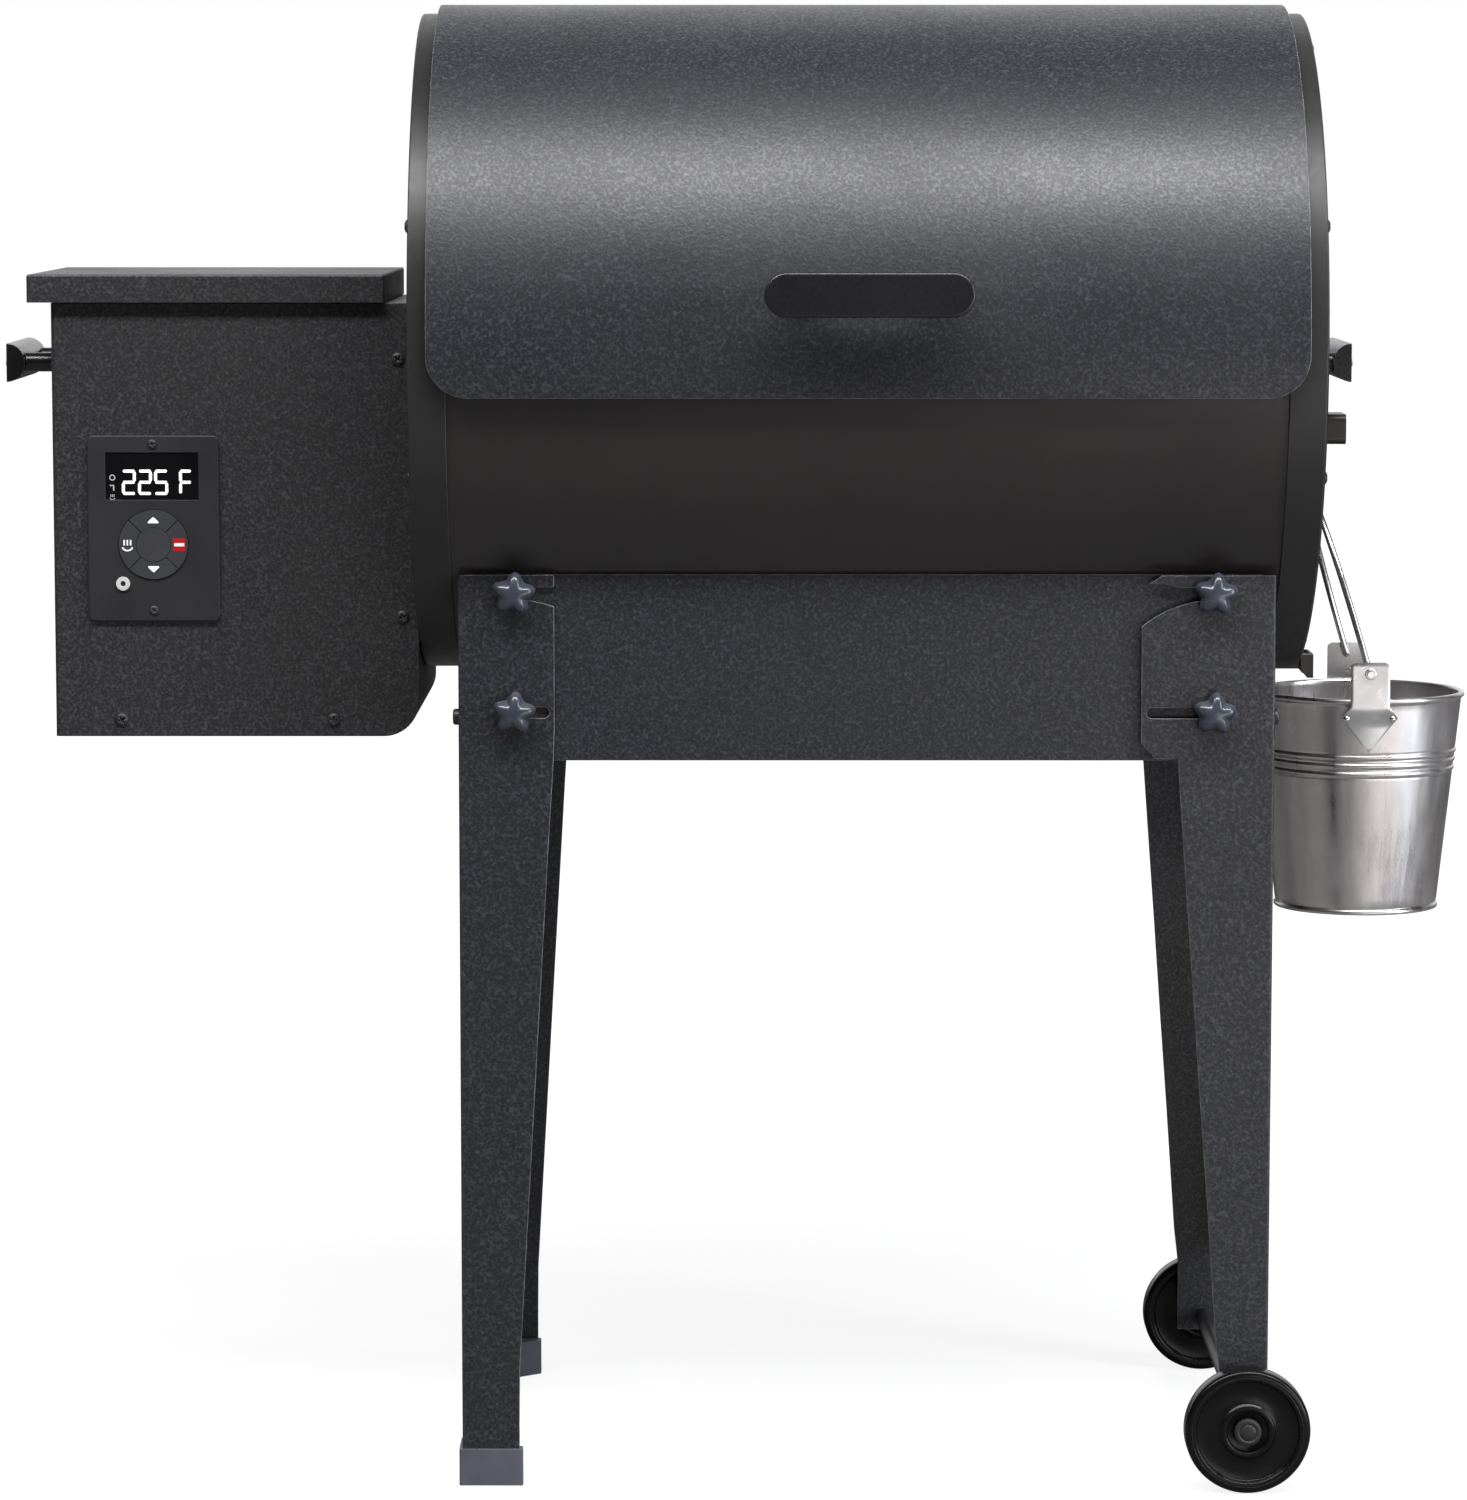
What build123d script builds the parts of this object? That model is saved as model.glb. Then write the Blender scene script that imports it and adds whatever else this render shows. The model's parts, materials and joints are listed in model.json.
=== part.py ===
"""Pellet grill: a horizontal barrel with a hinged lid, on four sheet legs with feet under the
left pair and wheels under the right pair.  A pellet hopper with the control panel hangs off
the left end and a drip bucket off the right end.

Millimetres.  In the saved files the origin is on the floor under the middle of the overall
box, +X is the user's right (bucket side), -Y points to the user and +Z is up.  Pieces are
drawn about the middle of the barrel, and save() moves them by (SHIFT_X, SHIFT_Y).
"""
from build123d import *
import math
import os

os.makedirs("parts", exist_ok=True)

SHIFT_X, SHIFT_Y = 74.4, 11.5
LEFT, RIGHT = -1, 1       # signs along X
FRONT, REAR = -1, 1       # signs along Y
BOTH = (-1, 1)

# ---------------------------------------------------------------- shared dimensions
BARREL_Z = 702.5          # height of the barrel axis
BAND_R = 206.0            # outer radius of the end bands
SHELL_R = 203.9           # outer radius of the barrel sheet
SHELL_T = 2.0
SHELL_IN = SHELL_R - SHELL_T
HALF_L = 275.5            # half length of the barrel
LID_R, LID_T = 211.5, 2.0
LID_HALF = 264.0          # half length of the lid

AUGER_Z = 535.0           # axis of the feed screw
TUBE_R = 24.0             # outer radius of its tube
FAN_Z = AUGER_Z + 9
DUCT_Y0, DUCT_Y1, DUCT_H = 50, 70, 10     # inside of the air duct, DUCT_H is half its height
PROBE_Y, PROBE_Z, PROBE_R = -60, 640, 4.0

HOPPER_X0, HOPPER_X1 = -501.8, -275.8
HOPPER_Y = 95.0           # half depth
HOPPER_Z0, HOPPER_Z1 = 460.8, 729.4


# ---------------------------------------------------------------- helpers
def save(name, *shapes):
    solids = [Pos(SHIFT_X, SHIFT_Y, 0) * solid for shape in shapes for solid in shape.solids()]
    shape = solids[0] if len(solids) == 1 else Compound(children=solids)
    export_step(shape, "parts/" + name + ".step")


def block(x0, x1, y0, y1, z0, z1):
    middle = Pos((x0 + x1) / 2, (y0 + y1) / 2, (z0 + z1) / 2)
    return middle * Box(abs(x1 - x0), abs(y1 - y0), abs(z1 - z0))


def rod_x(x0, x1, y, z, radius):
    return Pos((x0 + x1) / 2, y, z) * Rot(0, 90, 0) * Cylinder(radius, abs(x1 - x0))


def rod_y(y0, y1, x, z, radius):
    return Pos(x, (y0 + y1) / 2, z) * Rot(90, 0, 0) * Cylinder(radius, abs(y1 - y0))


def rod_z(z0, z1, x, y, radius):
    return Pos(x, y, (z0 + z1) / 2) * Cylinder(radius, abs(z1 - z0))


def outline_face(points):
    return make_face(Polyline(*points, close=True))


def plate_xz(points, y0, y1):
    """Flat plate with its outline in XZ, between y0 and y1 in either order."""
    low, high = min(y0, y1), max(y0, y1)
    plane = Plane(origin=(0, high, 0), x_dir=(1, 0, 0), z_dir=(0, -1, 0))
    return extrude(plane * outline_face(points), amount=high - low)


def prism_x(points, x0, x1):
    """Outline in YZ, extruded along X."""
    plane = Plane(origin=(x0, 0, 0), x_dir=(0, 1, 0), z_dir=(1, 0, 0))
    return extrude(plane * outline_face(points), amount=x1 - x0)


def barrel_point(radius, angle):
    """(y, z) about the barrel axis; 0 degrees = rear, 90 = top, 180 = front."""
    angle = math.radians(angle)
    return (radius * math.cos(angle), BARREL_Z + radius * math.sin(angle))


def barrel_rod(x0, x1, radius):
    return rod_x(x0, x1, 0, BARREL_Z, radius)


def sector(r0, r1, a0, a1, x0, x1):
    """Ring sector about the barrel axis, between two angles of barrel_point()."""
    ring = barrel_rod(x0, x1, r1) - barrel_rod(x0 - 1, x1 + 1, r0)
    steps = max(2, int(abs(a1 - a0) / 30) + 1)
    fan = [barrel_point(r1 * 3, a0 + (a1 - a0) * i / steps) for i in range(steps + 1)]
    return ring & prism_x([(0, BARREL_Z)] + fan, x0 - 2, x1 + 2)


def soften(shape, edges, radius):
    # some edge sets may be refused by the kernel; the shape then stays sharp
    try:
        return fillet(edges, radius)
    except Exception:
        return shape


def soften_end(shape, axis, sign, radius):
    """Round the circular edge furthest along +axis or -axis."""
    circles = shape.edges().filter_by(GeomType.CIRCLE).sort_by(axis)
    return soften(shape, circles[0 if sign < 0 else -1], radius)


def biggest(shape):
    return max(shape.solids(), key=lambda solid: solid.volume)


# ---------------------------------------------------------------- barrel sheet
SHELL_HALF = 253
SHELL_A0, SHELL_A1 = -177.5, 30.0    # from the front edge, under the bottom, to the rear edge


def ledge(face, z, width):
    """Ledge along the barrel wall."""
    outer = math.sqrt((SHELL_IN + 1) ** 2 - (BARREL_Z - z) ** 2)
    strip = block(-250, 250, face * (outer - width), face * (outer + 2), z - 2, z)
    return strip & barrel_rod(-250, 250, SHELL_IN + 0.5)


shell = sector(SHELL_IN, SHELL_R, SHELL_A0, SHELL_A1, -SHELL_HALF, SHELL_HALF)
for face in BOTH:
    # the upper ledge is for the grate, the lower for the drip tray
    shell = shell + ledge(face, 655, 16) + ledge(face, 592, 14)
shell = shell - block(-110, 110, 190, 215, 694, 712)      # rear exhaust opening
shell = shell - block(236, 246, -8, 8, 490, 506)          # grease drain
save("barrel_shell", shell)

# ---------------------------------------------------------------- end caps
BAND_W, BAND_T = 23.0, 2
CAP_SCREWS = [barrel_point(197, 22.5 + 45 * k) for k in range(8)]    # (y, z)


def end_cap(side):
    disc = barrel_rod(side * (HALF_L - 2), side * HALF_L, BAND_R)
    disc = soften_end(disc, Axis.X, side, 1.2)
    band = barrel_rod(side * (HALF_L - BAND_W), side * (HALF_L - 1.9), BAND_R)
    band = band - barrel_rod(side * (HALF_L - BAND_W - 1), side * HALF_L, BAND_R - BAND_T)
    return disc + band


def wall_openings(x0, x1):
    """Cutters for the auger tube, air duct and probe, which pass the hopper wall and left cap."""
    return [
        rod_x(x0, x1, 0, AUGER_Z, TUBE_R + 0.2),
        block(x0, x1, DUCT_Y0, DUCT_Y1, FAN_Z - DUCT_H, FAN_Z + DUCT_H),
        rod_x(x0, x1, PROBE_Y, PROBE_Z, PROBE_R + 0.1),
    ]


left_cap = end_cap(LEFT)
for cutter in wall_openings(-280, -270):
    left_cap = left_cap - cutter
right_cap = end_cap(RIGHT)
for y, z in CAP_SCREWS:
    left_cap = left_cap - rod_x(-280, -270, y, z, 2.0)
    right_cap = right_cap - rod_x(270, 280, y, z, 2.0)
save("left_end_cap", left_cap)
save("right_end_cap", right_cap)

# ---------------------------------------------------------------- leg frame dimensions
PANEL_OUT = 153.9         # outer face of the front and rear panels, distance from Y = 0
PANEL_T = 1.6
PANEL_X0, PANEL_X1 = -242.0, 242.0
PANEL_Z0, PANEL_Z1 = 452.4, 566.5
PANEL_CORNER = {LEFT: 31.5, RIGHT: 34.0}     # lower corners, arcs about the lower studs

LEG_T = 1.8
LEG_IN = {LEFT: 154.6, RIGHT: 157.2}         # inner face of the leg sheet, from Y = 0
LEG_OUT = {side: LEG_IN[side] + LEG_T for side in BOTH}
LEG_X = {LEFT: -248.3, RIGHT: 250.0}         # outer face of the side flange
FLANGE_W = 28.0

STUD_X = {LEFT: -214.0, RIGHT: 213.0}
STUD_LOW, STUD_UP = 482.0, 555.0
STUD_R = 2.5
SLOT_HALF = 3.3           # half height of the slots
TRAVEL = {LEFT: 18.0, RIGHT: 38.0}           # length of the lower slots, towards the middle
WHEEL_R, WHEEL_X = 38.8, 236.5
AXLE_R = 5.0


# ---------------------------------------------------------------- front and rear panels
def corner_cut(face, side, edge_x):
    y0, y1 = face * (PANEL_OUT - PANEL_T - 1), face * (PANEL_OUT + 1)
    corner = block(edge_x + side, STUD_X[side], y0, y1, PANEL_Z0 - 1, STUD_LOW)
    return corner - rod_y(y0, y1, STUD_X[side], STUD_LOW, PANEL_CORNER[side])


def panel(face):
    outer = face * PANEL_OUT
    plate = block(PANEL_X0, PANEL_X1, face * (PANEL_OUT - PANEL_T), outer, PANEL_Z0, PANEL_Z1)
    plate = plate - corner_cut(face, LEFT, PANEL_X0)
    plate = plate - corner_cut(face, RIGHT, PANEL_X1)
    # return flange along the lower edge, clear of the corners
    plate = plate + block(-200, 199, face * (PANEL_OUT - 12), outer, PANEL_Z0, PANEL_Z0 + PANEL_T)
    for side in BOTH:
        for z in (STUD_LOW, STUD_UP):
            plate = plate - rod_y(face * 150, face * 156, STUD_X[side], z, STUD_R + 0.1)
    return plate


save("front_panel", panel(FRONT))
save("rear_panel", panel(REAR))

# ---------------------------------------------------------------- studs, spacers and rear nuts
studs = []
for face in BOTH:
    for side in BOTH:
        for z in (STUD_LOW, STUD_UP):
            x, outer = STUD_X[side], LEG_OUT[side]
            nutted = face == REAR and z == STUD_LOW
            length = 9.0 if nutted else 11.0
            body = rod_y(face * 151.0, face * (outer + length), x, z, STUD_R)
            head = rod_y(face * 150.0, face * (PANEL_OUT - PANEL_T - 0.05), x, z, 6.0)
            studs.append(body + head)
            spacer = rod_y(face * (PANEL_OUT + 0.05), face * (LEG_IN[side] - 0.08), x, z, 6.0)
            studs.append(spacer - rod_y(face * 150, face * 160, x, z, STUD_R + 0.05))
            if nutted:
                hexagon = extrude(RegularPolygon(5.6, 6), amount=2.5, both=True)
                nut = Pos(x, face * (outer + 3.6), z) * Rot(90, 0, 0) * hexagon
                studs.append(nut - rod_y(150, 190, x, z, STUD_R + 0.02))
save("panel_studs", *studs)

# ---------------------------------------------------------------- legs
CUT_Y0, CUT_Y1 = 150, 162                    # reach of the cutters through the leg sheets
SIDE_BOLT_Y, SIDE_BOLT_Z = 142, 478
LEFT_OUTLINE = [                             # (x, z)
    (-248.3, 3), (-212.8, 3), (-212.8, 40), (-212.5, 73), (-193.7, 397.5), (-190.3, 452),
    (-189.6, 470), (-189.6, 565.7), (-190.1, 566.2), (-247.1, 566.2), (-248.3, 565.0),
]
RIGHT_OUTLINE = [                            # (x, z)
    (250.0, 29), (219.9, 29), (219.9, 75), (217.1, 98.8), (211.3, 180.4), (206.5, 242.8),
    (202.0, 305), (197.3, 367), (192.7, 428.7), (191.0, 453.6), (176.3, 453.9),
    (175.6, 455.8), (168.5, 463.2), (168.3, 558.2), (180.4, 566.2), (250.0, 566.2),
]


def upper_cut(x, inward, face):
    """Open slot at the upper stud: straight for the slide, flared by an arc for the fold."""
    reach, gap = 60, SLOT_HALF + 0.4
    top = STUD_UP + gap
    points = [(x + inward * reach, top + 3.0), (x + inward * 30, top + 2.2),
              (x + inward * 22, top), (x, top)]
    for i in range(1, 6):
        angle = math.radians(90 + 180 * i / 6)
        points.append((x + inward * gap * math.cos(angle), STUD_UP + gap * math.sin(angle)))
    arc_r, fold = STUD_UP - STUD_LOW - gap, 52
    for i in range(11):
        angle = math.radians(fold * i / 10)
        points.append((x + inward * arc_r * math.sin(angle), STUD_LOW + arc_r * math.cos(angle)))
    points.append((x + inward * reach * 1.2, STUD_LOW + arc_r * math.cos(math.radians(fold))))
    return plate_xz(points, face * CUT_Y0, face * CUT_Y1)


def leg_flange(side, face, bottom):
    """Side flange, cut back at the top to clear the round of the barrel."""
    outer, x = LEG_OUT[side], LEG_X[side]
    points = [(face * (outer - FLANGE_W), bottom), (face * (outer - FLANGE_W), 537),
              (face * (outer - 7), 555), (face * outer, 560), (face * outer, bottom)]
    return prism_x(points, *sorted((x, x - side * LEG_T)))


def soften_bend(leg, x, y):
    """Round the upright outer edge where the sheet turns into the flange."""
    edges = [edge for edge in leg.edges().filter_by(Axis.Z)
             if abs(edge.center().X - x) < 0.01 and abs(edge.center().Y - y) < 0.01]
    return soften(leg, edges, 1.6)


def make_leg(side, face, outline, flange_bottom):
    x, inward = STUD_X[side], -side
    slot_end = x + inward * TRAVEL[side]
    cut_y = (face * CUT_Y0, face * CUT_Y1)
    leg = plate_xz(outline, face * LEG_IN[side], face * LEG_OUT[side])
    slot = block(x, slot_end, *cut_y, STUD_LOW - SLOT_HALF, STUD_LOW + SLOT_HALF)
    slot = slot + rod_y(*cut_y, x, STUD_LOW, SLOT_HALF)
    slot = slot + rod_y(*cut_y, slot_end, STUD_LOW, SLOT_HALF)
    leg = leg - slot - upper_cut(x, inward, face)
    leg = leg + leg_flange(side, face, flange_bottom)
    leg = soften_bend(leg, LEG_X[side], face * LEG_OUT[side])
    leg = leg - rod_x(LEG_X[side] - 4, LEG_X[side] + 4, face * SIDE_BOLT_Y, SIDE_BOLT_Z, 2.6)
    if side == RIGHT:
        leg = leg - rod_y(*cut_y, WHEEL_X, WHEEL_R, AXLE_R)
    return leg


def side_bolt(side, face):
    x, y, z = LEG_X[side], face * SIDE_BOLT_Y, SIDE_BOLT_Z
    head = soften_end(rod_x(x, x + side * 4.0, y, z, 5.0), Axis.X, side, 1.6)
    nut = rod_x(x - side * 1.8, x - side * 4.0, y, z, 4.6)
    return head + rod_x(x - side * 4.0, x + side, y, z, 2.5) + nut


for end, face in (("front", FRONT), ("rear", REAR)):
    save(f"leg_{end}_left", make_leg(LEFT, face, LEFT_OUTLINE, 3), side_bolt(LEFT, face))
    save(f"leg_{end}_right", make_leg(RIGHT, face, RIGHT_OUTLINE, 87), side_bolt(RIGHT, face))

# tie rod between the inner faces of the two left legs
TIE_X, TIE_Z, TIE_END = -239.5, 100.0, LEG_IN[LEFT] - 0.02
save("left_cross_rod", rod_y(-TIE_END, TIE_END, TIE_X, TIE_Z, 4.0))


def foot(face):
    """Foot with a socket for the bottom of a left leg."""
    inner, outer, leg_x = LEG_IN[LEFT], LEG_OUT[LEFT], LEG_X[LEFT]
    points = [(-250.3, face * (outer + 0.35)), (-210.8, face * (outer + 0.35)),
              (-210.8, face * 150), (-242, face * 126), (-250.3, face * 126)]
    body = extrude(Plane(origin=(0, 0, 0)) * outline_face(points), amount=23.2)
    body = soften(body, body.edges().filter_by(Axis.Z), 1.2)
    socket = block(leg_x, -212.8, face * inner, face * outer, 3, 30)
    socket = socket + block(leg_x, leg_x + LEG_T, face * (outer - FLANGE_W), face * outer, 3, 30)
    return body - socket


save("left_feet", foot(FRONT), foot(REAR))


def bush(side, face):
    """Bush round a lower stud, inside the leg's slot."""
    inner, outer, x = LEG_IN[side], LEG_OUT[side], STUD_X[side]
    body = rod_y(face * inner, face * outer, x, STUD_LOW, SLOT_HALF - 0.05)
    return body - rod_y(face * (inner - 1), face * (outer + 1), x, STUD_LOW, STUD_R + 0.05)


save("left_pivot_bushes", bush(LEFT, FRONT), bush(LEFT, REAR))
save("right_pivot_bushes", bush(RIGHT, FRONT), bush(RIGHT, REAR))

# ---------------------------------------------------------------- wheels and their axle
WHEEL_Y0, WHEEL_Y1 = 160.5, 178.5


def wheel_rod(y0, y1, radius):
    return rod_y(y0, y1, WHEEL_X, WHEEL_R, radius)


# one straight axle, with a shoulder and a hub cap at each end
axle = wheel_rod(-WHEEL_Y1 - 1.0, WHEEL_Y1 + 1.0, AXLE_R)
for face in BOTH:
    axle = axle + wheel_rod(face * (LEG_OUT[RIGHT] + 0.05), face * (WHEEL_Y0 - 0.2), 9.0)
    hub_cap = wheel_rod(face * (WHEEL_Y1 - 3.0), face * (WHEEL_Y1 + 1.0), 8.5)
    axle = axle + soften_end(hub_cap, Axis.Y, face, 1.5)
save("wheel_axle", axle)


def make_wheel(face):
    wheel = wheel_rod(face * WHEEL_Y0, face * WHEEL_Y1, WHEEL_R)
    wheel = soften(wheel, wheel.edges().filter_by(GeomType.CIRCLE), 4.0)
    # the same shallow dish and hub on both faces
    for y, out in ((WHEEL_Y1, 1), (WHEEL_Y0, -1)):
        wheel = wheel - wheel_rod(face * (y - out * 3.0), face * (y + out * 5), 31.5)
        wheel = wheel + wheel_rod(face * (y - out * 4.0), face * (y - out * 1.2), 17.0)
        wheel = wheel - wheel_rod(face * (y - out * 3.4), face * (y + out * 5), 13.0)
    return wheel - wheel_rod(face * 150, face * 190, AXLE_R + 0.05)


save("wheel_front", make_wheel(FRONT))
save("wheel_rear", make_wheel(REAR))

# ---------------------------------------------------------------- star knobs
KNOB_R, LOBE_H, LOBES = 11.6, 1.9, 5


def knob(side, face, z):
    x, out = STUD_X[side], LEG_OUT[side]
    start = out + 0.3
    points = []
    for i in range(60):
        angle = 2 * math.pi * i / 60
        radius = KNOB_R + LOBE_H * math.cos(LOBES * angle - 0.45)
        points.append((x + radius * math.sin(angle), z + radius * math.cos(angle)))
    star = make_face(Spline(*points, periodic=True))
    plane = Plane(origin=(0, face * (start + 3.0), 0), x_dir=(1, 0, 0), z_dir=(0, -1, 0))
    body = extrude(plane * star, amount=-11 * face)
    grip = body.faces().sort_by(Axis.Y)[0 if face < 0 else -1]
    body = soften(body, grip.edges(), 2.2)
    body = body + rod_y(face * start, face * (start + 3.2), x, z, 7.5)
    return body - rod_y(face * (start - 1), face * (out + 11.4), x, z, STUD_R + 0.05)


for name, side in (("left", LEFT), ("right", RIGHT)):
    save(f"knob_front_{name}_low", knob(side, FRONT, STUD_LOW))
    save(f"knob_front_{name}_up", knob(side, FRONT, STUD_UP))
    save(f"knob_rear_{name}_up", knob(side, REAR, STUD_UP))

# ---------------------------------------------------------------- lid
LID_A0, LID_A1 = 20.0, 187.2      # rear and front edge angles
LID_CORNER = 25                   # radius of the lower front corners
HINGE_Y, HINGE_Z = 208.0, 772.0
HINGE_X = (-170, 170)
KNUCKLE_R, KNUCKLE_HALF, LEAF_HALF, PIN_R = 5.5, 12, 25, 2.5
POST_X, HANDLE_Z = (-40, 40), 738.5

lid = sector(LID_R - LID_T, LID_R, LID_A0, LID_A1, -LID_HALF, LID_HALF)
edge_z = barrel_point(LID_R, LID_A1)[1]
for side in BOTH:
    x, z = side * (LID_HALF - LID_CORNER), edge_z + LID_CORNER
    corner = block(x, side * (LID_HALF + 1), -220, -180, edge_z - 1, z)
    lid = lid - (corner - rod_y(-222, -178, x, z, LID_CORNER))
for x in HINGE_X:
    x0, x1 = x - KNUCKLE_HALF, x + KNUCKLE_HALF
    strap = sector(LID_R - 0.2, LID_R + 2.4, 20.2, 32, x0, x1)
    knuckle = rod_x(x0, x1, HINGE_Y, HINGE_Z, KNUCKLE_R)
    web = prism_x([(HINGE_Y - 3.5, HINGE_Z + 4.6), barrel_point(LID_R + 0.2, 22.5),
                   barrel_point(LID_R + 0.3, 27), (HINGE_Y + 3.0, HINGE_Z + 4.4)], x0, x1)
    lid = lid + strap + knuckle + web
    lid = lid - rod_x(x0 - 1, x1 + 1, HINGE_Y, HINGE_Z, PIN_R + 0.05)
for x in POST_X:
    lid = lid - rod_y(-215, -200, x, HANDLE_Z, 3.05)
save("lid_shell", lid)


def leaf_arm(x0, x1):
    knuckle = rod_x(x0, x1, HINGE_Y, HINGE_Z, KNUCKLE_R)
    web = prism_x([(HINGE_Y + 4.6, HINGE_Z - 3.0), barrel_point(SHELL_R + 2.4, 13),
                   barrel_point(SHELL_R + 0.2, 15.6), (HINGE_Y - 4.2, HINGE_Z - 3.4)], x0, x1)
    return web + knuckle


# barrel leaves: a curved base with one arm each side of the lid's knuckle, and a pin
leaves = []
for x in HINGE_X:
    x0, x1, gap = x - LEAF_HALF, x + LEAF_HALF, KNUCKLE_HALF + 0.3
    leaf = leaf_arm(x0, x - gap) + sector(SHELL_R + 0.05, SHELL_R + 2.4, 5.5, 15.4, x0, x1)
    leaf = leaf + leaf_arm(x + gap, x1)
    leaves.append(leaf - rod_x(x - 28, x + 28, HINGE_Y, HINGE_Z, PIN_R))
    leaves.append(rod_x(x - 27, x + 27, HINGE_Y, HINGE_Z, PIN_R))
save("lid_hinge_leaves", *leaves)

# bar handle with full-round ends, on two posts with washers inside the lid
bar = Pos(0.5, -236, HANDLE_Z) * Rot(90, 0, 0) * extrude(SlotOverall(125, 27), amount=4, both=True)
bar_edges = bar.edges().filter_by(GeomType.LINE) + bar.edges().filter_by(GeomType.CIRCLE)
bar = soften(bar, bar_edges, 2.0)
for x in POST_X:
    bar = bar + rod_y(-233, -210.5, x, HANDLE_Z, 7.0)
    bar = bar - barrel_rod(x - 8, x + 8, LID_R + 0.05)
    bar = bar + rod_y(-214, -206.5, x, HANDLE_Z, 3.0) + rod_y(-205.1, -202.6, x, HANDLE_Z, 6.0)
save("lid_handle", bar)

# ---------------------------------------------------------------- firepot and igniter
POT_R, POT_Z0, POT_Z1, POT_WALL = 45, 508, 582, 2.5
TUBE_IN = 22.0
IGNITER_Z = 528

pot = rod_z(POT_Z0, POT_Z1, 0, 0, POT_R) - rod_z(POT_Z0 + 3, POT_Z1 + 1, 0, 0, POT_R - POT_WALL)
pot = pot - rod_x(-50, -30, 0, AUGER_Z, TUBE_IN)
for k in range(12):
    angle = 2 * math.pi * (k + 0.5) / 12
    place = Pos(42 * math.cos(angle), 42 * math.sin(angle), 518) * Rot(0, 0, math.degrees(angle))
    pot = pot - place * Rot(0, 90, 0) * Cylinder(2.5, 12)
pot = pot - rod_y(25, 60, 0, IGNITER_Z, 4.6)
for degrees in (45, 135, 225, 315):
    # four feet down to the barrel sheet
    cosine, sine = math.cos(math.radians(degrees)), math.sin(math.radians(degrees))
    bottom = BARREL_Z - math.sqrt(SHELL_IN ** 2 - (38 * sine) ** 2) + 0.9
    pot = pot + rod_z(bottom, POT_Z0 + 0.5, 34 * cosine, 34 * sine, 3.0)
save("firepot", pot)
save("igniter_rod", rod_y(30, 72, 0, IGNITER_Z, 4.5) + rod_y(72, 77, 0, IGNITER_Z, 6.0))

# ---------------------------------------------------------------- pellet feed
tube = rod_x(-445, -45.2, 0, AUGER_Z, TUBE_R) - rod_x(-450, -40, 0, AUGER_Z, TUBE_IN)
tube = tube - block(-424, -356, -15, 15, AUGER_Z, AUGER_Z + 30)     # pellet inlet
save("auger_tube", tube)

SCREW_X0, TURNS, PITCH = -440, 10, 36.0
SCREW_SHAFT_R = 6.0
FLIGHT_R, FLIGHT_W, FLIGHT_T = 12.0, 17.0, 2.4     # middle radius, radial width, thickness
screw = rod_x(-462, -49, 0, AUGER_Z, SCREW_SHAFT_R)
for i in range(TURNS):
    helix = Helix(pitch=PITCH, height=PITCH, radius=FLIGHT_R)
    plane = Plane(origin=helix @ 0, x_dir=(1, 0, 0), z_dir=helix % 0)
    profile = plane * Rectangle(FLIGHT_W, FLIGHT_T)
    # a turn that the kernel cannot sweep or join is left out
    try:
        turn = sweep(profile, path=helix, is_frenet=True)
        screw = screw + Pos(SCREW_X0 + i * PITCH, 0, AUGER_Z) * Rot(0, 90, 0) * turn
    except Exception:
        pass
save("auger_screw", screw)

motor = block(-492, -463, -30, 30, AUGER_Z - 30, AUGER_Z + 30)
motor = motor + rod_x(-463.5, -446, 0, AUGER_Z, 26)
motor = motor - rod_x(-470, -440, 0, AUGER_Z, SCREW_SHAFT_R + 0.05)
motor = motor + rod_x(-498, -491, 12, AUGER_Z + 8, 16)
save("auger_motor", motor)

# ---------------------------------------------------------------- inside the barrel
# heat baffle: a plate with two turned-down ends and four legs
BAFFLE_X, BAFFLE_Y = 80, 75
baffle = block(-BAFFLE_X, BAFFLE_X, -BAFFLE_Y, BAFFLE_Y, 588, 591)
for side in BOTH:
    x0, x1 = side * (BAFFLE_X - 3), side * BAFFLE_X
    baffle = baffle + block(x0, x1, -BAFFLE_Y, BAFFLE_Y, 576, 589)
bottom = BARREL_Z - math.sqrt(SHELL_IN ** 2 - 68 ** 2) + 1.2
for side in BOTH:
    for face in BOTH:
        baffle = baffle + block(side * 74, side * BAFFLE_X, face * 60, face * 68, bottom, 589)
save("heat_baffle", baffle)

probe = rod_x(-282.5, -150, PROBE_Y, PROBE_Z, PROBE_R)
save("temperature_probe", probe + rod_x(-273.2, -266, PROBE_Y, PROBE_Z, 8.0))

# grate of 30 round rods on three cross bars
GRATE_X0, GRATE_PITCH = -232, 16
grate = rod_y(-188, 188, GRATE_X0, 666, 3.0)
for k in range(1, 30):
    grate = grate + rod_y(-188, 188, GRATE_X0 + GRATE_PITCH * k, 666, 3.0)
for y in (-185, 0, 185):
    grate = grate + rod_x(-244, 244, y, 660.2, 4.0)
save("grill_grate", grate)

# drip tray, lower at its right end, with rims at the front, rear and left
TRAY_X, TRAY_Y, TRAY_Z, TRAY_SLOPE = 242, 158, 600, 1.3
tray = block(-TRAY_X, TRAY_X, -TRAY_Y, TRAY_Y, TRAY_Z, TRAY_Z + 2)
for face in BOTH:
    y0, y1 = face * (TRAY_Y - 2), face * TRAY_Y
    tray = tray + block(-TRAY_X, TRAY_X, y0, y1, TRAY_Z, TRAY_Z + 12)
tray = tray + block(-TRAY_X, 2 - TRAY_X, -TRAY_Y, TRAY_Y, TRAY_Z, TRAY_Z + 12)
tray = Pos(0, 0, TRAY_Z + 1) * Rot(0, TRAY_SLOPE, 0) * Pos(0, 0, -TRAY_Z - 1) * tray
save("drip_tray", Pos(0, 0, -1.4) * tray)

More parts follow.
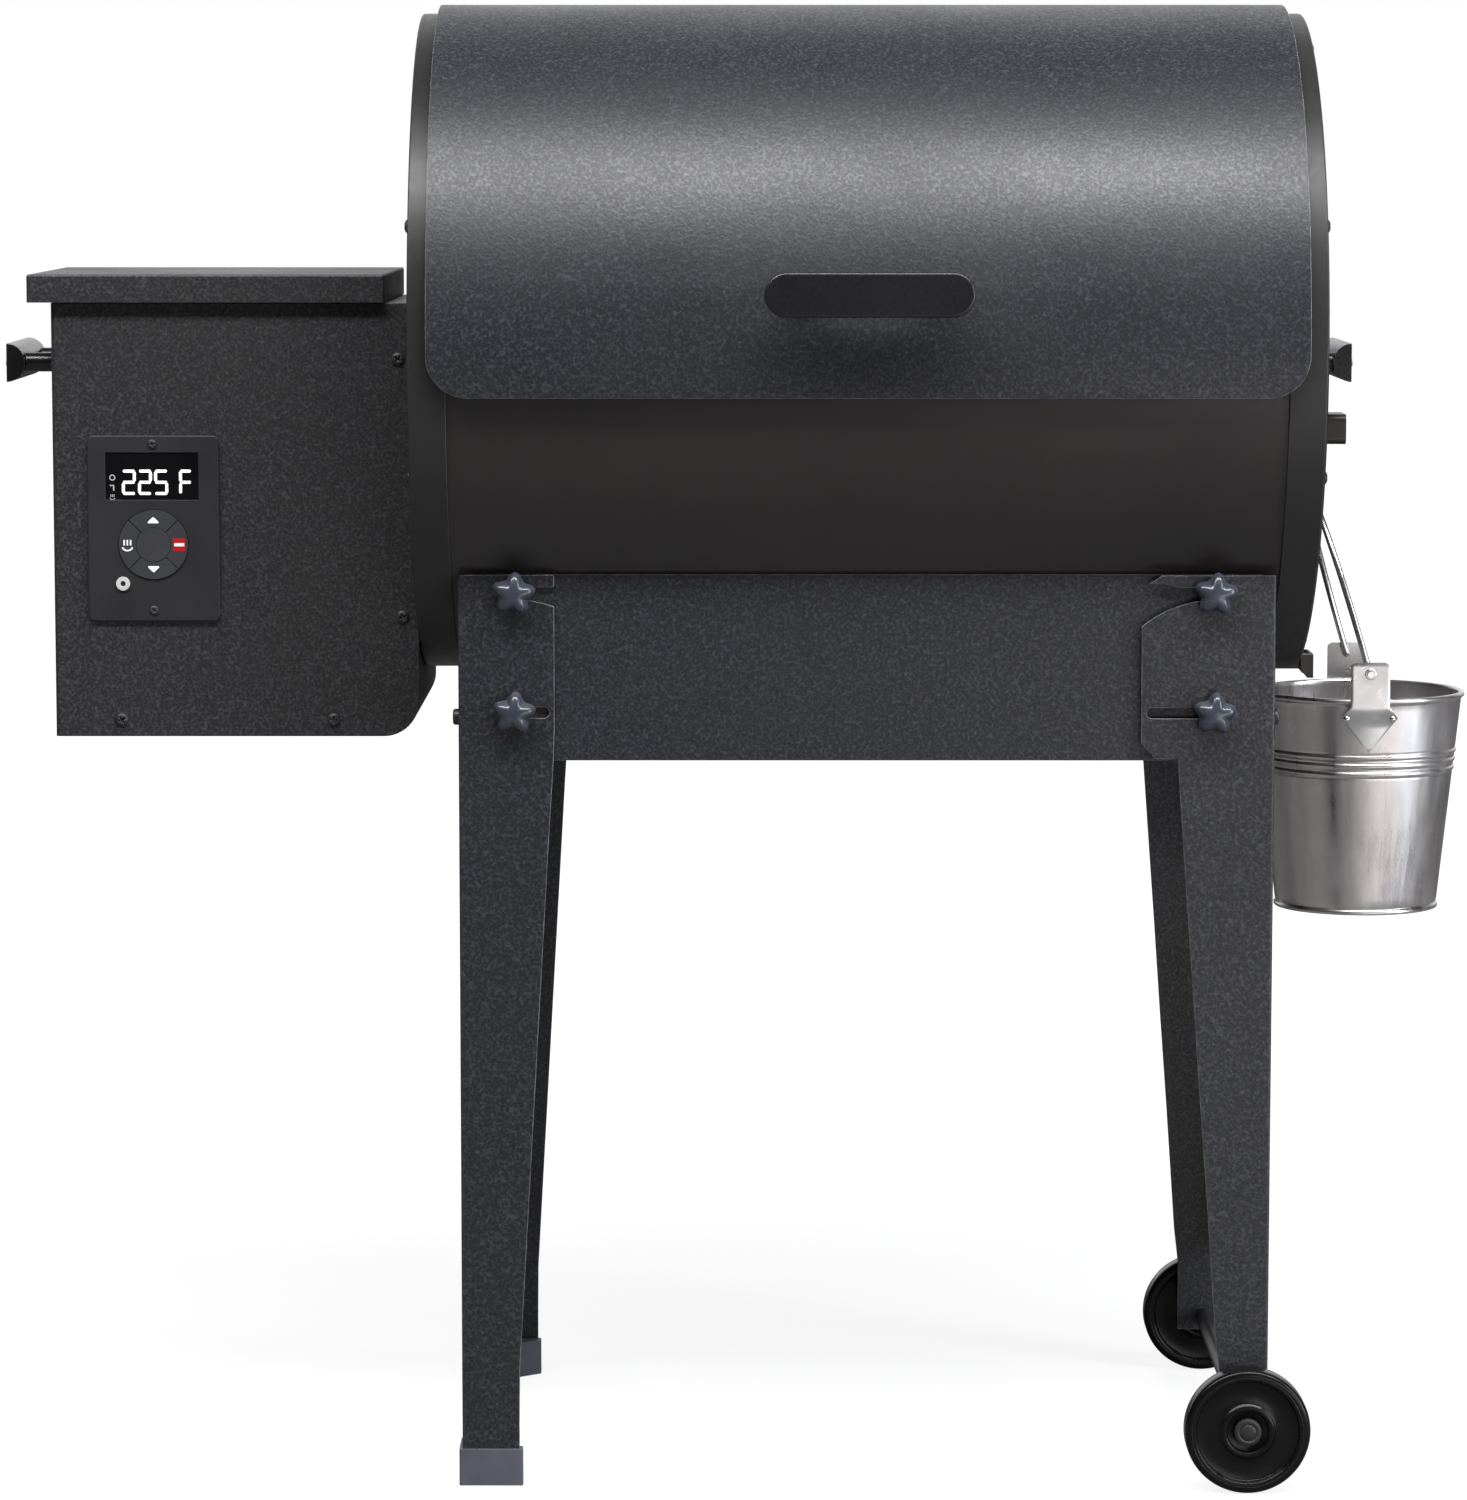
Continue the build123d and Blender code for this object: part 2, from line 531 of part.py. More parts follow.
# ---------------------------------------------------------------- fittings on the right end
# grease drain: a trough that ends in a downward mouth between two cheeks
MOUTH_X0, MOUTH_X1 = 279.9, 288.0
spout = block(228, MOUTH_X1, -14, 14, 495.2, 505) - block(227, 281, -12, 12, 497.0, 506)
spout = spout - block(MOUTH_X0, 286.4, -12, 12, 494, 506)
cheek = [(MOUTH_X0, 504.6), (MOUTH_X1, 504.6), (MOUTH_X1, 489.7), (284.2, 489.7),
         (MOUTH_X0, 495.0)]                  # (x, z)
for face in BOTH:
    spout = spout + plate_xz(cheek, face * 12.0, face * 18.0)
spout = spout + block(286.4, MOUTH_X1, -18, 18, 489.7, 504.6)
spout = spout - barrel_rod(200, HALF_L + 0.05, BAND_R + 0.1)
save("drain_spout", biggest(spout))

# bucket hook: a round plate, an arm and an upturned tip
HOOK_Z = 612.0
ARM_Z, TIP_Z, TIP_X, WIRE_R = HOOK_Z - 4.6, HOOK_Z + 3.5, HALF_L + 15, 3.0
hook = rod_x(HALF_L + 0.05, HALF_L + 2.5, 0, HOOK_Z + 1, 9.0)
hook = hook + rod_x(HALF_L + 1, TIP_X, 0, ARM_Z, WIRE_R)
hook = hook + Pos(TIP_X, 0, ARM_Z) * Sphere(WIRE_R) + rod_z(ARM_Z, TIP_Z, TIP_X, 0, WIRE_R)
hook = hook + Pos(TIP_X, 0, TIP_Z) * Sphere(WIRE_R)
save("bucket_hook", hook)

port = block(HALF_L + 0.05, 307.0, -18, 18, 638, 657)
port = soften(port, port.edges().filter_by(Axis.X), 4.0)
save("probe_port", port - rod_x(290, 310, 0, 647.5, 3.0))

# ---------------------------------------------------------------- carry handles
CARRY_Z, CARRY_DEPTH, CARRY_HALF = 691, 11.5, 53


def carry_handle(side, wall, outer):
    """Half-round bar on two posts, with its flat face outward."""
    middle = outer - side * CARRY_DEPTH
    oval = extrude(Ellipse(CARRY_DEPTH, 12), amount=CARRY_HALF, both=True)
    half = Pos(middle, 0, CARRY_Z) * Rot(90, 0, 0) * oval
    half = half & block(middle, outer + side, -CARRY_HALF, CARRY_HALF, 670, 710)
    handle = Pos(outer + middle, 0, 0) * Rot(0, 0, 180) * half
    for y in (-40, 40):
        handle = handle + rod_x(wall + side * 0.05, outer - side * 4, y, CARRY_Z, 6.0)
    return handle


save("left_carry_handle", carry_handle(LEFT, HOPPER_X0, -535.0))
save("right_carry_handle", carry_handle(RIGHT, HALF_L, 306.0))

# ---------------------------------------------------------------- hood over the rear exhaust
hood = block(-125, 125, 196, 217, 688, 718) - block(-123, 123, 190, 215, 690, 720)
hood = hood + block(-125, 125, 196, 217, 716, 718)
hood = hood - barrel_rod(-130, 130, SHELL_R + 0.05)
for k in range(9):
    hood = hood - block(-112 + 25 * k, -100 + 25 * k, 213, 219, 694, 710)
save("rear_vent_hood", biggest(hood))

# ---------------------------------------------------------------- hopper
NECK_X1, NECK_Z = -299.2, 738.0
LID_PIN_Y, LID_PIN_Z = HOPPER_Y + 6.5, 734.0
BEZEL_X0, BEZEL_X1, BEZEL_Z0, BEZEL_Z1 = -480.1, -398.6, 532.9, 647.9
HOPPER_SCREWS = [(-460.8, 471.2), (-328.9, 471.2), (-287.5, 695.1), (-285.6, 535.3)]   # (x, z)
LID_KNUCKLES = [(-459.7, -446.5), (-493.5, -480.3), (-363.5, -350.3), (-329.7, -316.5)]


def bin_block(x0, x1, y, z0, z1, radius):
    """Box with its lower right corner (towards the barrel) rounded."""
    points = [(x0, z1), (x0, z0)]
    for k in range(13):
        angle = math.radians(270 + 90 * k / 12)
        points.append((x1 - radius + radius * math.cos(angle),
                       z0 + radius + radius * math.sin(angle)))
    points.append((x1, z1))
    return plate_xz(points, -y, y)


def soften_left(shape, reach):
    """Round the upright edges near the hopper's left face."""
    edges = [edge for edge in shape.edges().filter_by(Axis.Z)
             if edge.center().X < HOPPER_X0 + reach]
    return soften(shape, edges, 3.0)


hopper = bin_block(HOPPER_X0, HOPPER_X1, HOPPER_Y, HOPPER_Z0, HOPPER_Z1, 22.0)
hopper = soften_left(hopper, 1)
inside = bin_block(HOPPER_X0 + 2, HOPPER_X1 - 2, HOPPER_Y - 2, HOPPER_Z0 + 2, HOPPER_Z1 + 5, 20.0)
neck = block(HOPPER_X0 + 3, NECK_X1, -HOPPER_Y + 3, HOPPER_Y - 3, HOPPER_Z1 - 2.1, NECK_Z)
top = block(HOPPER_X0, HOPPER_X1, -HOPPER_Y, HOPPER_Y, HOPPER_Z1 - 2, HOPPER_Z1)
top = soften_left(top, 4)
hopper = (hopper - inside) + top + neck
hopper = hopper - block(HOPPER_X0 + 5, NECK_X1 - 2, -HOPPER_Y + 5, HOPPER_Y - 5,
                        HOPPER_Z1 - 5, NECK_Z + 2)
hopper = hopper - block(BEZEL_X0 + 3, BEZEL_X1 - 3, -HOPPER_Y - 1, -HOPPER_Y + 3,
                        BEZEL_Z0 + 3, BEZEL_Z1 - 3)
for cutter in wall_openings(HOPPER_X1 - 3, HOPPER_X1 + 1):
    hopper = hopper - cutter
hopper = hopper - block(-472, -444, HOPPER_Y - 3, HOPPER_Y + 1, 494, 516)    # power inlet
for x0, x1 in ((-480, -460), (-350, -330)):
    # knuckle, its bracket on the rear wall, and the pin
    bracket_y = LID_PIN_Y + 1.5
    hopper = hopper + rod_x(x0, x1, LID_PIN_Y, LID_PIN_Z, 4.0)
    hopper = hopper + block(x0, x1, HOPPER_Y - 0.1, bracket_y, 712, 729.4)
    hopper = hopper + block(x0, x1, 97.8, bracket_y, 729, LID_PIN_Z - 2.0)
    hopper = hopper + rod_x(x0 - 14, x1 + 14, LID_PIN_Y, LID_PIN_Z, 1.95)
for x, z in HOPPER_SCREWS:
    hopper = hopper - rod_y(-HOPPER_Y - 1, -HOPPER_Y + 3, x, z, 2.0)
save("hopper_shell", hopper)

COVER_X0, COVER_X1, COVER_Z0, COVER_Z1 = -515.7, -295.2, 729.9, 747.1
COVER_Y0, COVER_Y1 = -101.0, 96.5
cover = block(COVER_X0, COVER_X1, COVER_Y0, COVER_Y1, COVER_Z0, COVER_Z1)
cover = soften(cover, cover.edges().filter_by(Axis.Z), 1.6)
cover = soften(cover, cover.faces().sort_by(Axis.Z)[-1].edges(), 1.4)
cover = cover - block(COVER_X0 + 2, COVER_X1 - 2, COVER_Y0 + 2, COVER_Y1 - 2,
                      COVER_Z0 - 1, COVER_Z1 - 2)
for x0, x1 in LID_KNUCKLES:
    tab = block(x0, x1, 94.6, LID_PIN_Y + 0.5, LID_PIN_Z + 1.2, LID_PIN_Z + 3.6)
    cover = cover + rod_x(x0, x1, LID_PIN_Y, LID_PIN_Z, 3.6) + tab
    cover = cover - rod_x(x0 - 1, x1 + 1, LID_PIN_Y, LID_PIN_Z, 2.0)
save("hopper_lid", cover)


def funnel_body(z_top, z_bottom, wall):
    upper = Pos(-388.5, 20) * Rectangle(211 - wall, 140 - wall)
    lower = Pos(-390, 0) * Rectangle(74 - wall, 36 - wall)
    return loft([Plane(origin=(0, 0, z_top)) * upper, Plane(origin=(0, 0, z_bottom)) * lower])


# funnel that guides the pellets to the feed tube
save("hopper_funnel", funnel_body(702, 560.5, 0) - funnel_body(703, 559.5, 3))

# ---------------------------------------------------------------- control panel
FACE_Y = -HOPPER_Y
DISPLAY_X0, DISPLAY_X1, DISPLAY_Z0, DISPLAY_Z1 = -468.9, -411.2, 608.1, 637.5
RING_X, RING_Z, RING_R, RING_IN = -439.5, 580.4, 21.4, 10.6
JACK_X, JACK_Z = -458.6, 556.2
BEZEL_SCREWS = [(-439.6, 642.6), (-439.6, 539.6)]          # (x, z)
OPEN_Y = (FACE_Y - 5, FACE_Y + 2)                          # reach of the bezel cutters

bezel = block(BEZEL_X0, BEZEL_X1, FACE_Y - 2.4, FACE_Y - 0.05, BEZEL_Z0, BEZEL_Z1)
bezel = soften(bezel, bezel.edges().filter_by(Axis.Y), 4.0)
bezel = soften(bezel, bezel.faces().sort_by(Axis.Y)[0].edges(), 0.8)
case = block(BEZEL_X0 + 4, BEZEL_X1 - 4, FACE_Y - 0.1, -62, BEZEL_Z0 + 4, BEZEL_Z1 - 4)
case = case - block(BEZEL_X0 + 6, BEZEL_X1 - 6, FACE_Y - 0.2, -64, BEZEL_Z0 + 6, BEZEL_Z1 - 6)
bezel = bezel + case
bezel = bezel - block(DISPLAY_X0, DISPLAY_X1, *OPEN_Y, DISPLAY_Z0, DISPLAY_Z1)
bezel = bezel - rod_y(*OPEN_Y, RING_X, RING_Z, RING_R + 0.3)
bezel = bezel - rod_y(*OPEN_Y, JACK_X, JACK_Z, 3.2)
for x, z in BEZEL_SCREWS:
    bezel = bezel - rod_y(*OPEN_Y, x, z, 1.6)
save("control_bezel", bezel)


def display_block(grow, y0, y1):
    return block(DISPLAY_X0 - grow, DISPLAY_X1 + grow, y0, y1,
                 DISPLAY_Z0 - grow, DISPLAY_Z1 + grow)


save("display_window", display_block(-0.1, FACE_Y - 1.8, FACE_Y + 0.5)
     + display_block(0.5, FACE_Y, FACE_Y + 1.8))
jack = rod_y(FACE_Y - 3.6, FACE_Y + 6, JACK_X, JACK_Z, 3.1)
jack = jack + rod_y(FACE_Y - 3.6, FACE_Y - 2.45, JACK_X, JACK_Z, 4.3)
save("probe_jack", jack - rod_y(FACE_Y - 5, FACE_Y + 4, JACK_X, JACK_Z, 1.6))


def ring_key(middle):
    """Quarter of the key ring, centred on an angle in degrees (0 = right, 90 = up)."""
    y0, y1 = FACE_Y - 3.2, FACE_Y - 0.3
    ring = rod_y(y0, y1, RING_X, RING_Z, RING_R)
    ring = ring - rod_y(y0 - 1, y1 + 1, RING_X, RING_Z, RING_IN + 0.25)
    points = [(RING_X, RING_Z)]
    for i in range(5):
        angle = math.radians(middle - 45 + 90 * i / 4)
        points.append((RING_X + 60 * math.cos(angle), RING_Z + 60 * math.sin(angle)))
    quarter = ring & plate_xz(points, y0 - 1, y1 + 1)
    # a narrow gap between neighbouring keys
    for angle in (middle - 45, middle + 45):
        place = Pos(RING_X, (y0 + y1) / 2, RING_Z) * Rot(0, -angle, 0)
        quarter = quarter - place * Pos(16, 0, 0) * Box(40, 8, 0.5)
    return quarter


for name, angle in (("up", 90), ("down", 270), ("left", 180), ("right", 0)):
    save("button_" + name, ring_key(angle))
save("button_center", rod_y(FACE_Y - 3.4, FACE_Y - 0.3, RING_X, RING_Z, RING_IN))

# ---------------------------------------------------------------- fan beside the feed tube
FAN_X, FAN_Y0, FAN_Y1 = -325.0, 44.0, 78.0


def fan_rod(y0, y1, radius):
    return rod_y(y0, y1, FAN_X, FAN_Z, radius)


def duct_block(x0, x1, grow):
    return block(x0, x1, DUCT_Y0 - grow, DUCT_Y1 + grow,
                 FAN_Z - DUCT_H - grow, FAN_Z + DUCT_H + grow)


housing = fan_rod(FAN_Y0, FAN_Y1, 30) - fan_rod(FAN_Y0 + 2, FAN_Y1 - 2, 28)
duct = duct_block(FAN_X, HOPPER_X1 - 2.1, 2) - fan_rod(FAN_Y0 - 5, FAN_Y1 + 5, 29)
duct = duct - duct_block(FAN_X, HOPPER_X1 + 2, 0)
housing = housing - duct_block(FAN_X + 20, FAN_X + 40, 0) - fan_rod(FAN_Y1 - 3, FAN_Y1 + 1, 16)
housing = housing + duct + fan_rod(FAN_Y0 - 12, FAN_Y0 + 0.5, 16)
housing = housing - fan_rod(FAN_Y0 - 6, FAN_Y0 + 5, 2.05)
save("fan_housing", biggest(housing))

impeller = fan_rod(FAN_Y0 + 3, FAN_Y1 - 6, 6) + fan_rod(FAN_Y0 + 3, FAN_Y0 + 5, 25)
for k in range(12):
    place = Pos(FAN_X, (FAN_Y0 + FAN_Y1) / 2 - 1, FAN_Z) * Rot(0, 30.0 * k, 0)
    impeller = impeller + place * Pos(21, 0, 0) * Box(7.5, FAN_Y1 - FAN_Y0 - 10, 1.2)
save("fan_impeller", impeller + fan_rod(FAN_Y0 - 5, FAN_Y0 + 4, 2.0))

inlet = block(-471.5, -444.5, HOPPER_Y - 12, HOPPER_Y + 0.5, 494.5, 515.5)
inlet = inlet + block(-475, -441, HOPPER_Y + 0.05, HOPPER_Y + 2.2, 490, 520)
save("power_inlet", inlet - block(-468, -448, HOPPER_Y - 9, HOPPER_Y + 3, 498, 512))


# ---------------------------------------------------------------- dome-head screws
def screw_x(x, side, y, z):
    head = soften_end(rod_x(x, x + side * 2.2, y, z, 4.2), Axis.X, side, 1.4)
    return head + rod_x(x - side * 5, x + side * 0.5, y, z, 1.95)


def screw_y(x, z, y, head_r, head_h, shank_r):
    head = soften_end(rod_y(y - head_h, y, x, z, head_r), Axis.Y, FRONT, head_h * 0.6)
    return head + rod_y(y - 0.5, y + 4, x, z, shank_r)


screws = []
for y, z in CAP_SCREWS:
    screws.append(screw_x(HALF_L + 0.02, RIGHT, y, z))
    if abs(y) >= 101:         # the hopper covers the others on the left cap
        screws.append(screw_x(-HALF_L - 0.02, LEFT, y, z))
for x, z in HOPPER_SCREWS:
    screws.append(screw_y(x, z, FACE_Y - 0.02, 4.2, 2.2, 1.95))
for x, z in BEZEL_SCREWS:
    screws.append(screw_y(x, z, FACE_Y - 2.42, 3.0, 1.4, 1.5))
save("case_screws", *screws)

# ---------------------------------------------------------------- bucket
BUCKET_X, RIM_Z, RIM_R, BASE_Z, BASE_R = 318.5, 481.0, 66.0, 342.0, 51.0
BUCKET_H = RIM_Z - BASE_Z
EAR_Z, EAR_HALF = 497.0, 12.25     # height of the bail holes, half width of the ears


def wall_r(z):
    """Radius of the bucket wall at a height above its base."""
    return BASE_R + (RIM_R - BASE_R) * z / BUCKET_H


def turned(points):
    """Solid turned about the bucket axis from (radius, height above the base)."""
    body = revolve(Plane.XZ * outline_face(points), axis=Axis.Z, revolution_arc=360)
    return Pos(BUCKET_X, 0, BASE_Z) * body


profile = [
    (0, 3), (BASE_R - 1.2, 3), (RIM_R - 1.2, BUCKET_H), (RIM_R + 0.3, BUCKET_H),
    (RIM_R + 1.6, BUCKET_H - 1.2), (RIM_R + 1.6, BUCKET_H - 3.2),
    (RIM_R + 0.1, BUCKET_H - 4.4), (RIM_R - 0.35, BUCKET_H - 4.4),
]
for drop in (38, 43.5, 49):        # three rolled ribs below the rim
    z = BUCKET_H - drop
    profile += [(wall_r(z) + 0.05, z + 1.3), (wall_r(z) + 0.9, z), (wall_r(z) - 0.1, z - 1.3)]
profile += [(BASE_R + 0.2, 3.5), (BASE_R + 1.2, 2.4), (BASE_R + 1.2, 0), (BASE_R - 0.6, 0),
            (BASE_R - 0.6, 2.0), (0, 2.0)]
bucket = turned(profile)
skin = turned([(0, 60), (wall_r(60) + 1.3, 60), (RIM_R + 1.3, BUCKET_H), (0, BUCKET_H)])
skin = skin - turned([(0, 50), (wall_r(50) - 0.1, 50), (RIM_R + 0.05, BUCKET_H + 2),
                      (0, BUCKET_H + 2)])
x0, x1 = BUCKET_X - EAR_HALF, BUCKET_X + EAR_HALF
KITE = [(x0, 476.5), (BUCKET_X - 18, 468.6), (BUCKET_X, 447.0), (BUCKET_X + 18, 468.6),
        (x1, 476.5)]               # (x, z)
for face in BOTH:
    # kite-shaped plate riveted to the wall, stepping out over the rim into a flat tab
    kite = skin & plate_xz(KITE, face * 40, face * 75)
    tab = block(x0, x1, face * 67.9, face * 69.4, 473.5, 504.3)
    tab_top = [edge for edge in tab.edges().filter_by(Axis.Y) if edge.center().Z > 500]
    tab = soften(tab, tab_top, 2.5)
    step = block(x0, x1, face * 64.6, face * 69.3, 473.5, 475.5)
    rivets = rod_y(face * 61, face * 65.8, BUCKET_X - 14.4, 468.6, 2.0)
    rivets = rivets + rod_y(face * 61, face * 65.8, BUCKET_X + 14.4, 468.6, 2.0)
    bucket = bucket + kite + tab + step + rivets
    bucket = bucket - rod_y(face * 66.5, face * 80, BUCKET_X, EAR_Z, 2.05)
save("drip_bucket", bucket)

# ---------------------------------------------------------------- bail
# wire arch in a tilted plane, from the ear holes up over the hook
BAIL_Y, BAIL_R = 65.2, 2.0
run, rise = 284.0 - BUCKET_X, HOOK_Z + 1.3 - EAR_Z
bail_h = math.hypot(run, rise)
up_x, up_z = run / bail_h, rise / bail_h
# (half width, distance up the tilted plane)
BAIL_HALF = [(BAIL_Y, 0), (BAIL_Y - 0.3, 18), (BAIL_Y - 6, 50), (44, 86), (18, bail_h - 4.5)]
stations = [(-y, up) for y, up in BAIL_HALF] + [(0, bail_h)] + BAIL_HALF[::-1]
path = Spline(*[(BUCKET_X + up_x * up, y, EAR_Z + up_z * up) for y, up in stations],
              tangents=((up_x, 0, up_z), (-up_x, 0, -up_z)))
bail = sweep(Plane(origin=path @ 0, z_dir=path % 0) * Circle(BAIL_R), path=path)
for face in BOTH:
    bail = bail + rod_y(face * BAIL_Y, face * 72.0, BUCKET_X, EAR_Z, 1.98)
    bail = bail + Pos(BUCKET_X, face * BAIL_Y, EAR_Z) * Sphere(BAIL_R)
save("bucket_bail", bail)
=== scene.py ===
"""Barrel grill: surfaces and detailed parts over the CAD pieces, and a white studio.

The barrel lies along X with its middle over the drawing origin. -X is left (control
panel), +X is right (wheels and bucket), -Y is front, +Y is rear, and Z is up from the
floor. Parts are drawn in millimetres; materials, lights and the camera use metres.
"""
import bpy
import bmesh
import json
import math
import random
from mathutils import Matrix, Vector

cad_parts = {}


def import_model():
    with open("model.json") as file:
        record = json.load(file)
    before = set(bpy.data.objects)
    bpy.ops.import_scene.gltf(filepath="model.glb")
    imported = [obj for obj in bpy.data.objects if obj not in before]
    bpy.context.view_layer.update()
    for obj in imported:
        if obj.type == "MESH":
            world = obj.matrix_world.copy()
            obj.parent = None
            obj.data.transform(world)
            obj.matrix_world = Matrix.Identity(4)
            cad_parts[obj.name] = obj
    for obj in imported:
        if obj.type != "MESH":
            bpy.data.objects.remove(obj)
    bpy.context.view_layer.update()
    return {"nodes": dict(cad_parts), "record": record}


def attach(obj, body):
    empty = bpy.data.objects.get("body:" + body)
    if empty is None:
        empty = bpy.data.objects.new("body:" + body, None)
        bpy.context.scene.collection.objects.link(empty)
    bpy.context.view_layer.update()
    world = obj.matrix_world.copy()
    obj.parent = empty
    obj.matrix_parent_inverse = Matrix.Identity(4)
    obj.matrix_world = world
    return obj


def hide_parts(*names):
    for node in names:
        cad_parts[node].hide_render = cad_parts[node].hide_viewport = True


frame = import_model()
NODES = frame["nodes"]
random.seed(7)

MM = 0.001
FRAME_OFFSET = Vector((0.0744, 0.0115, 0.0))    # from the drawing origin to the shared frame
FRONT, REAR = -1, 1                             # sign of Y


# ------------------------------------------------------------------ material nodes
class Mat:
    """A Principled material wired from procedural nodes in object space."""

    INPUTS = {"color": "Base Color", "rough": "Roughness", "metallic": "Metallic",
              "spec": "Specular IOR Level", "normal": "Normal", "coat": "Coat Weight",
              "coat_rough": "Coat Roughness", "emit": "Emission Color",
              "emit_strength": "Emission Strength"}

    def __init__(self, name):
        self.material = bpy.data.materials.new(name)
        self.material.use_nodes = True
        self.tree = self.material.node_tree
        self.tree.nodes.clear()
        output = self.node("ShaderNodeOutputMaterial")
        self.shader = self.node("ShaderNodeBsdfPrincipled")
        self.feed(output.inputs["Surface"], self.shader.outputs[0])
        self.coords = self.node("ShaderNodeTexCoord").outputs["Object"]

    def node(self, kind, **settings):
        node = self.tree.nodes.new(kind)
        for key, value in settings.items():
            setattr(node, key, value)
        return node

    def feed(self, socket, value):
        """Link an output socket, or set a number or an RGB colour."""
        if isinstance(value, bpy.types.NodeSocket):
            self.tree.links.new(value, socket)
        elif isinstance(value, (int, float)):
            socket.default_value = value
        else:
            socket.default_value = (*value, 1.0)

    def scaled(self, scale):
        node = self.node("ShaderNodeMapping")
        node.inputs["Scale"].default_value = scale
        self.feed(node.inputs["Vector"], self.coords)
        return node.outputs[0]

    def noise(self, scale, detail, rough=0.55, distortion=0.0, vector=None):
        node = self.node("ShaderNodeTexNoise")
        node.inputs["Scale"].default_value = scale
        node.inputs["Detail"].default_value = detail
        node.inputs["Roughness"].default_value = rough
        node.inputs["Distortion"].default_value = distortion
        self.feed(node.inputs["Vector"], vector or self.coords)
        return node.outputs["Fac"]

    def voronoi(self, scale, feature):
        node = self.node("ShaderNodeTexVoronoi", feature=feature)
        node.inputs["Scale"].default_value = scale
        self.feed(node.inputs["Vector"], self.coords)
        return node

    def ramp(self, value, stops):
        """Colour ramp through three (position, colour) stops."""
        node = self.node("ShaderNodeValToRGB")
        elements = node.color_ramp.elements
        elements.new(0.5)
        for i, (position, color) in enumerate(stops):
            elements[i].position = position
            elements[i].color = (*color, 1.0)
        self.feed(node.inputs["Fac"], value)
        return node.outputs["Color"]

    def remap(self, value, low, high, span=(0.3, 0.7)):
        """Carry the span of the value onto low..high."""
        node = self.node("ShaderNodeMapRange")
        node.inputs["From Min"].default_value = span[0]
        node.inputs["From Max"].default_value = span[1]
        node.inputs["To Min"].default_value = low
        node.inputs["To Max"].default_value = high
        self.feed(node.inputs["Value"], value)
        return node.outputs["Result"]

    def mix(self, factor, color_a, color_b):
        node = self.node("ShaderNodeMix", data_type="RGBA", blend_type="MIX")
        self.feed(node.inputs["Factor"], factor)
        self.feed(node.inputs[6], color_a)
        self.feed(node.inputs[7], color_b)
        return node.outputs[2]

    def math(self, operation, a, b):
        node = self.node("ShaderNodeMath", operation=operation)
        self.feed(node.inputs[0], a)
        self.feed(node.inputs[1], b)
        return node.outputs[0]

    def add(self, a, b):
        return self.math("ADD", a, b)

    def multiply(self, a, b):
        return self.math("MULTIPLY", a, b)

    def bevel(self, radius):
        node = self.node("ShaderNodeBevel")
        node.samples = 4
        node.inputs["Radius"].default_value = radius
        return node.outputs["Normal"]

    def edge_mask(self, bevel_normal):
        """0 on flats, towards 1 where the surface turns over an edge."""
        geometry = self.node("ShaderNodeNewGeometry")
        dot = self.node("ShaderNodeVectorMath", operation="DOT_PRODUCT")
        self.feed(dot.inputs[0], bevel_normal)
        self.feed(dot.inputs[1], geometry.outputs["Normal"])
        return self.remap(dot.outputs["Value"], 1.0, 0.0, span=(0.80, 1.0))

    def bump(self, height, strength, distance, normal=None):
        node = self.node("ShaderNodeBump")
        node.inputs["Strength"].default_value = strength
        node.inputs["Distance"].default_value = distance
        self.feed(node.inputs["Height"], height)
        if normal is not None:
            self.feed(node.inputs["Normal"], normal)
        return node.outputs[0]

    def set(self, **values):
        for key, value in values.items():
            self.feed(self.shader.inputs[self.INPUTS[key]], value)
        return self.material


def tint(color, factor):
    return [c * factor for c in color]


# ------------------------------------------------------------------ material families
def powder_coat(name, dark, light, rough, lit_worn_edge_color, scale, strength, depth):
    """Wrinkle powder coat: worm-like grain, speckled colour with painted light on the raised grain
    and painted shade in its hollows, and light edges, partly worn and partly a painted highlight.
    """
    m = Mat(name)
    grain = m.noise(scale, detail=2.5, rough=0.6, distortion=1.1)
    cells = m.voronoi(scale * 0.85, "SMOOTH_F1").outputs["Distance"]
    patches = m.noise(9.0, detail=3.0)
    height = m.add(m.multiply(grain, 0.75), m.multiply(cells, 0.45))
    normal = m.bevel(0.0009)
    edges = m.edge_mask(normal)
    # Colour follows the bump height: painted light on the raised grain and painted shade in its
    # hollows, over the speckle.
    color = m.ramp(height, [(0.28, tint(dark, 0.5)), (0.55, light), (0.78, tint(light, 3.6))])
    color = m.mix(m.remap(patches, 0.0, 0.25, span=(0.35, 0.75)), color, tint(dark, 0.75))
    broken = m.remap(m.noise(120, detail=3), 0.25, 0.9, span=(0.35, 0.65))
    # Light edge colour, broken up by noise: partly edge wear, partly a painted edge highlight.
    color = m.mix(m.multiply(edges, broken), color, lit_worn_edge_color)
    roughness = m.add(m.remap(height, rough + 0.10, rough - 0.08, span=(0.3, 0.9)),
                      m.remap(patches, -0.04, 0.05))
    return m.set(color=color, rough=roughness, spec=0.5,
                 normal=m.bump(height, strength, depth, normal))


def enamel(name, dark, light, rough, lit_worn_edge_color, scale, strength,
           metallic=0.0, spec=0.5, clear=0.0):
    """Smooth paint with a fine grain; clear is the weight of the clear coat."""
    m = Mat(name)
    grain = m.noise(scale, detail=4, rough=0.6)
    patches = m.noise(6.0, detail=4.0, rough=0.6)
    normal = m.bevel(0.0008)
    edges = m.edge_mask(normal)
    color = m.mix(m.remap(patches, 0, 1), dark, light)
    # Light edge colour: partly edge wear, partly a painted edge highlight.
    color = m.mix(m.multiply(edges, 0.55), color, lit_worn_edge_color)
    roughness = m.add(m.remap(grain, rough - 0.05, rough + 0.05), m.remap(patches, -0.03, 0.05))
    return m.set(color=color, rough=roughness, metallic=metallic, spec=spec, coat=clear,
                 coat_rough=0.2, normal=m.bump(grain, strength, 0.0002, normal))


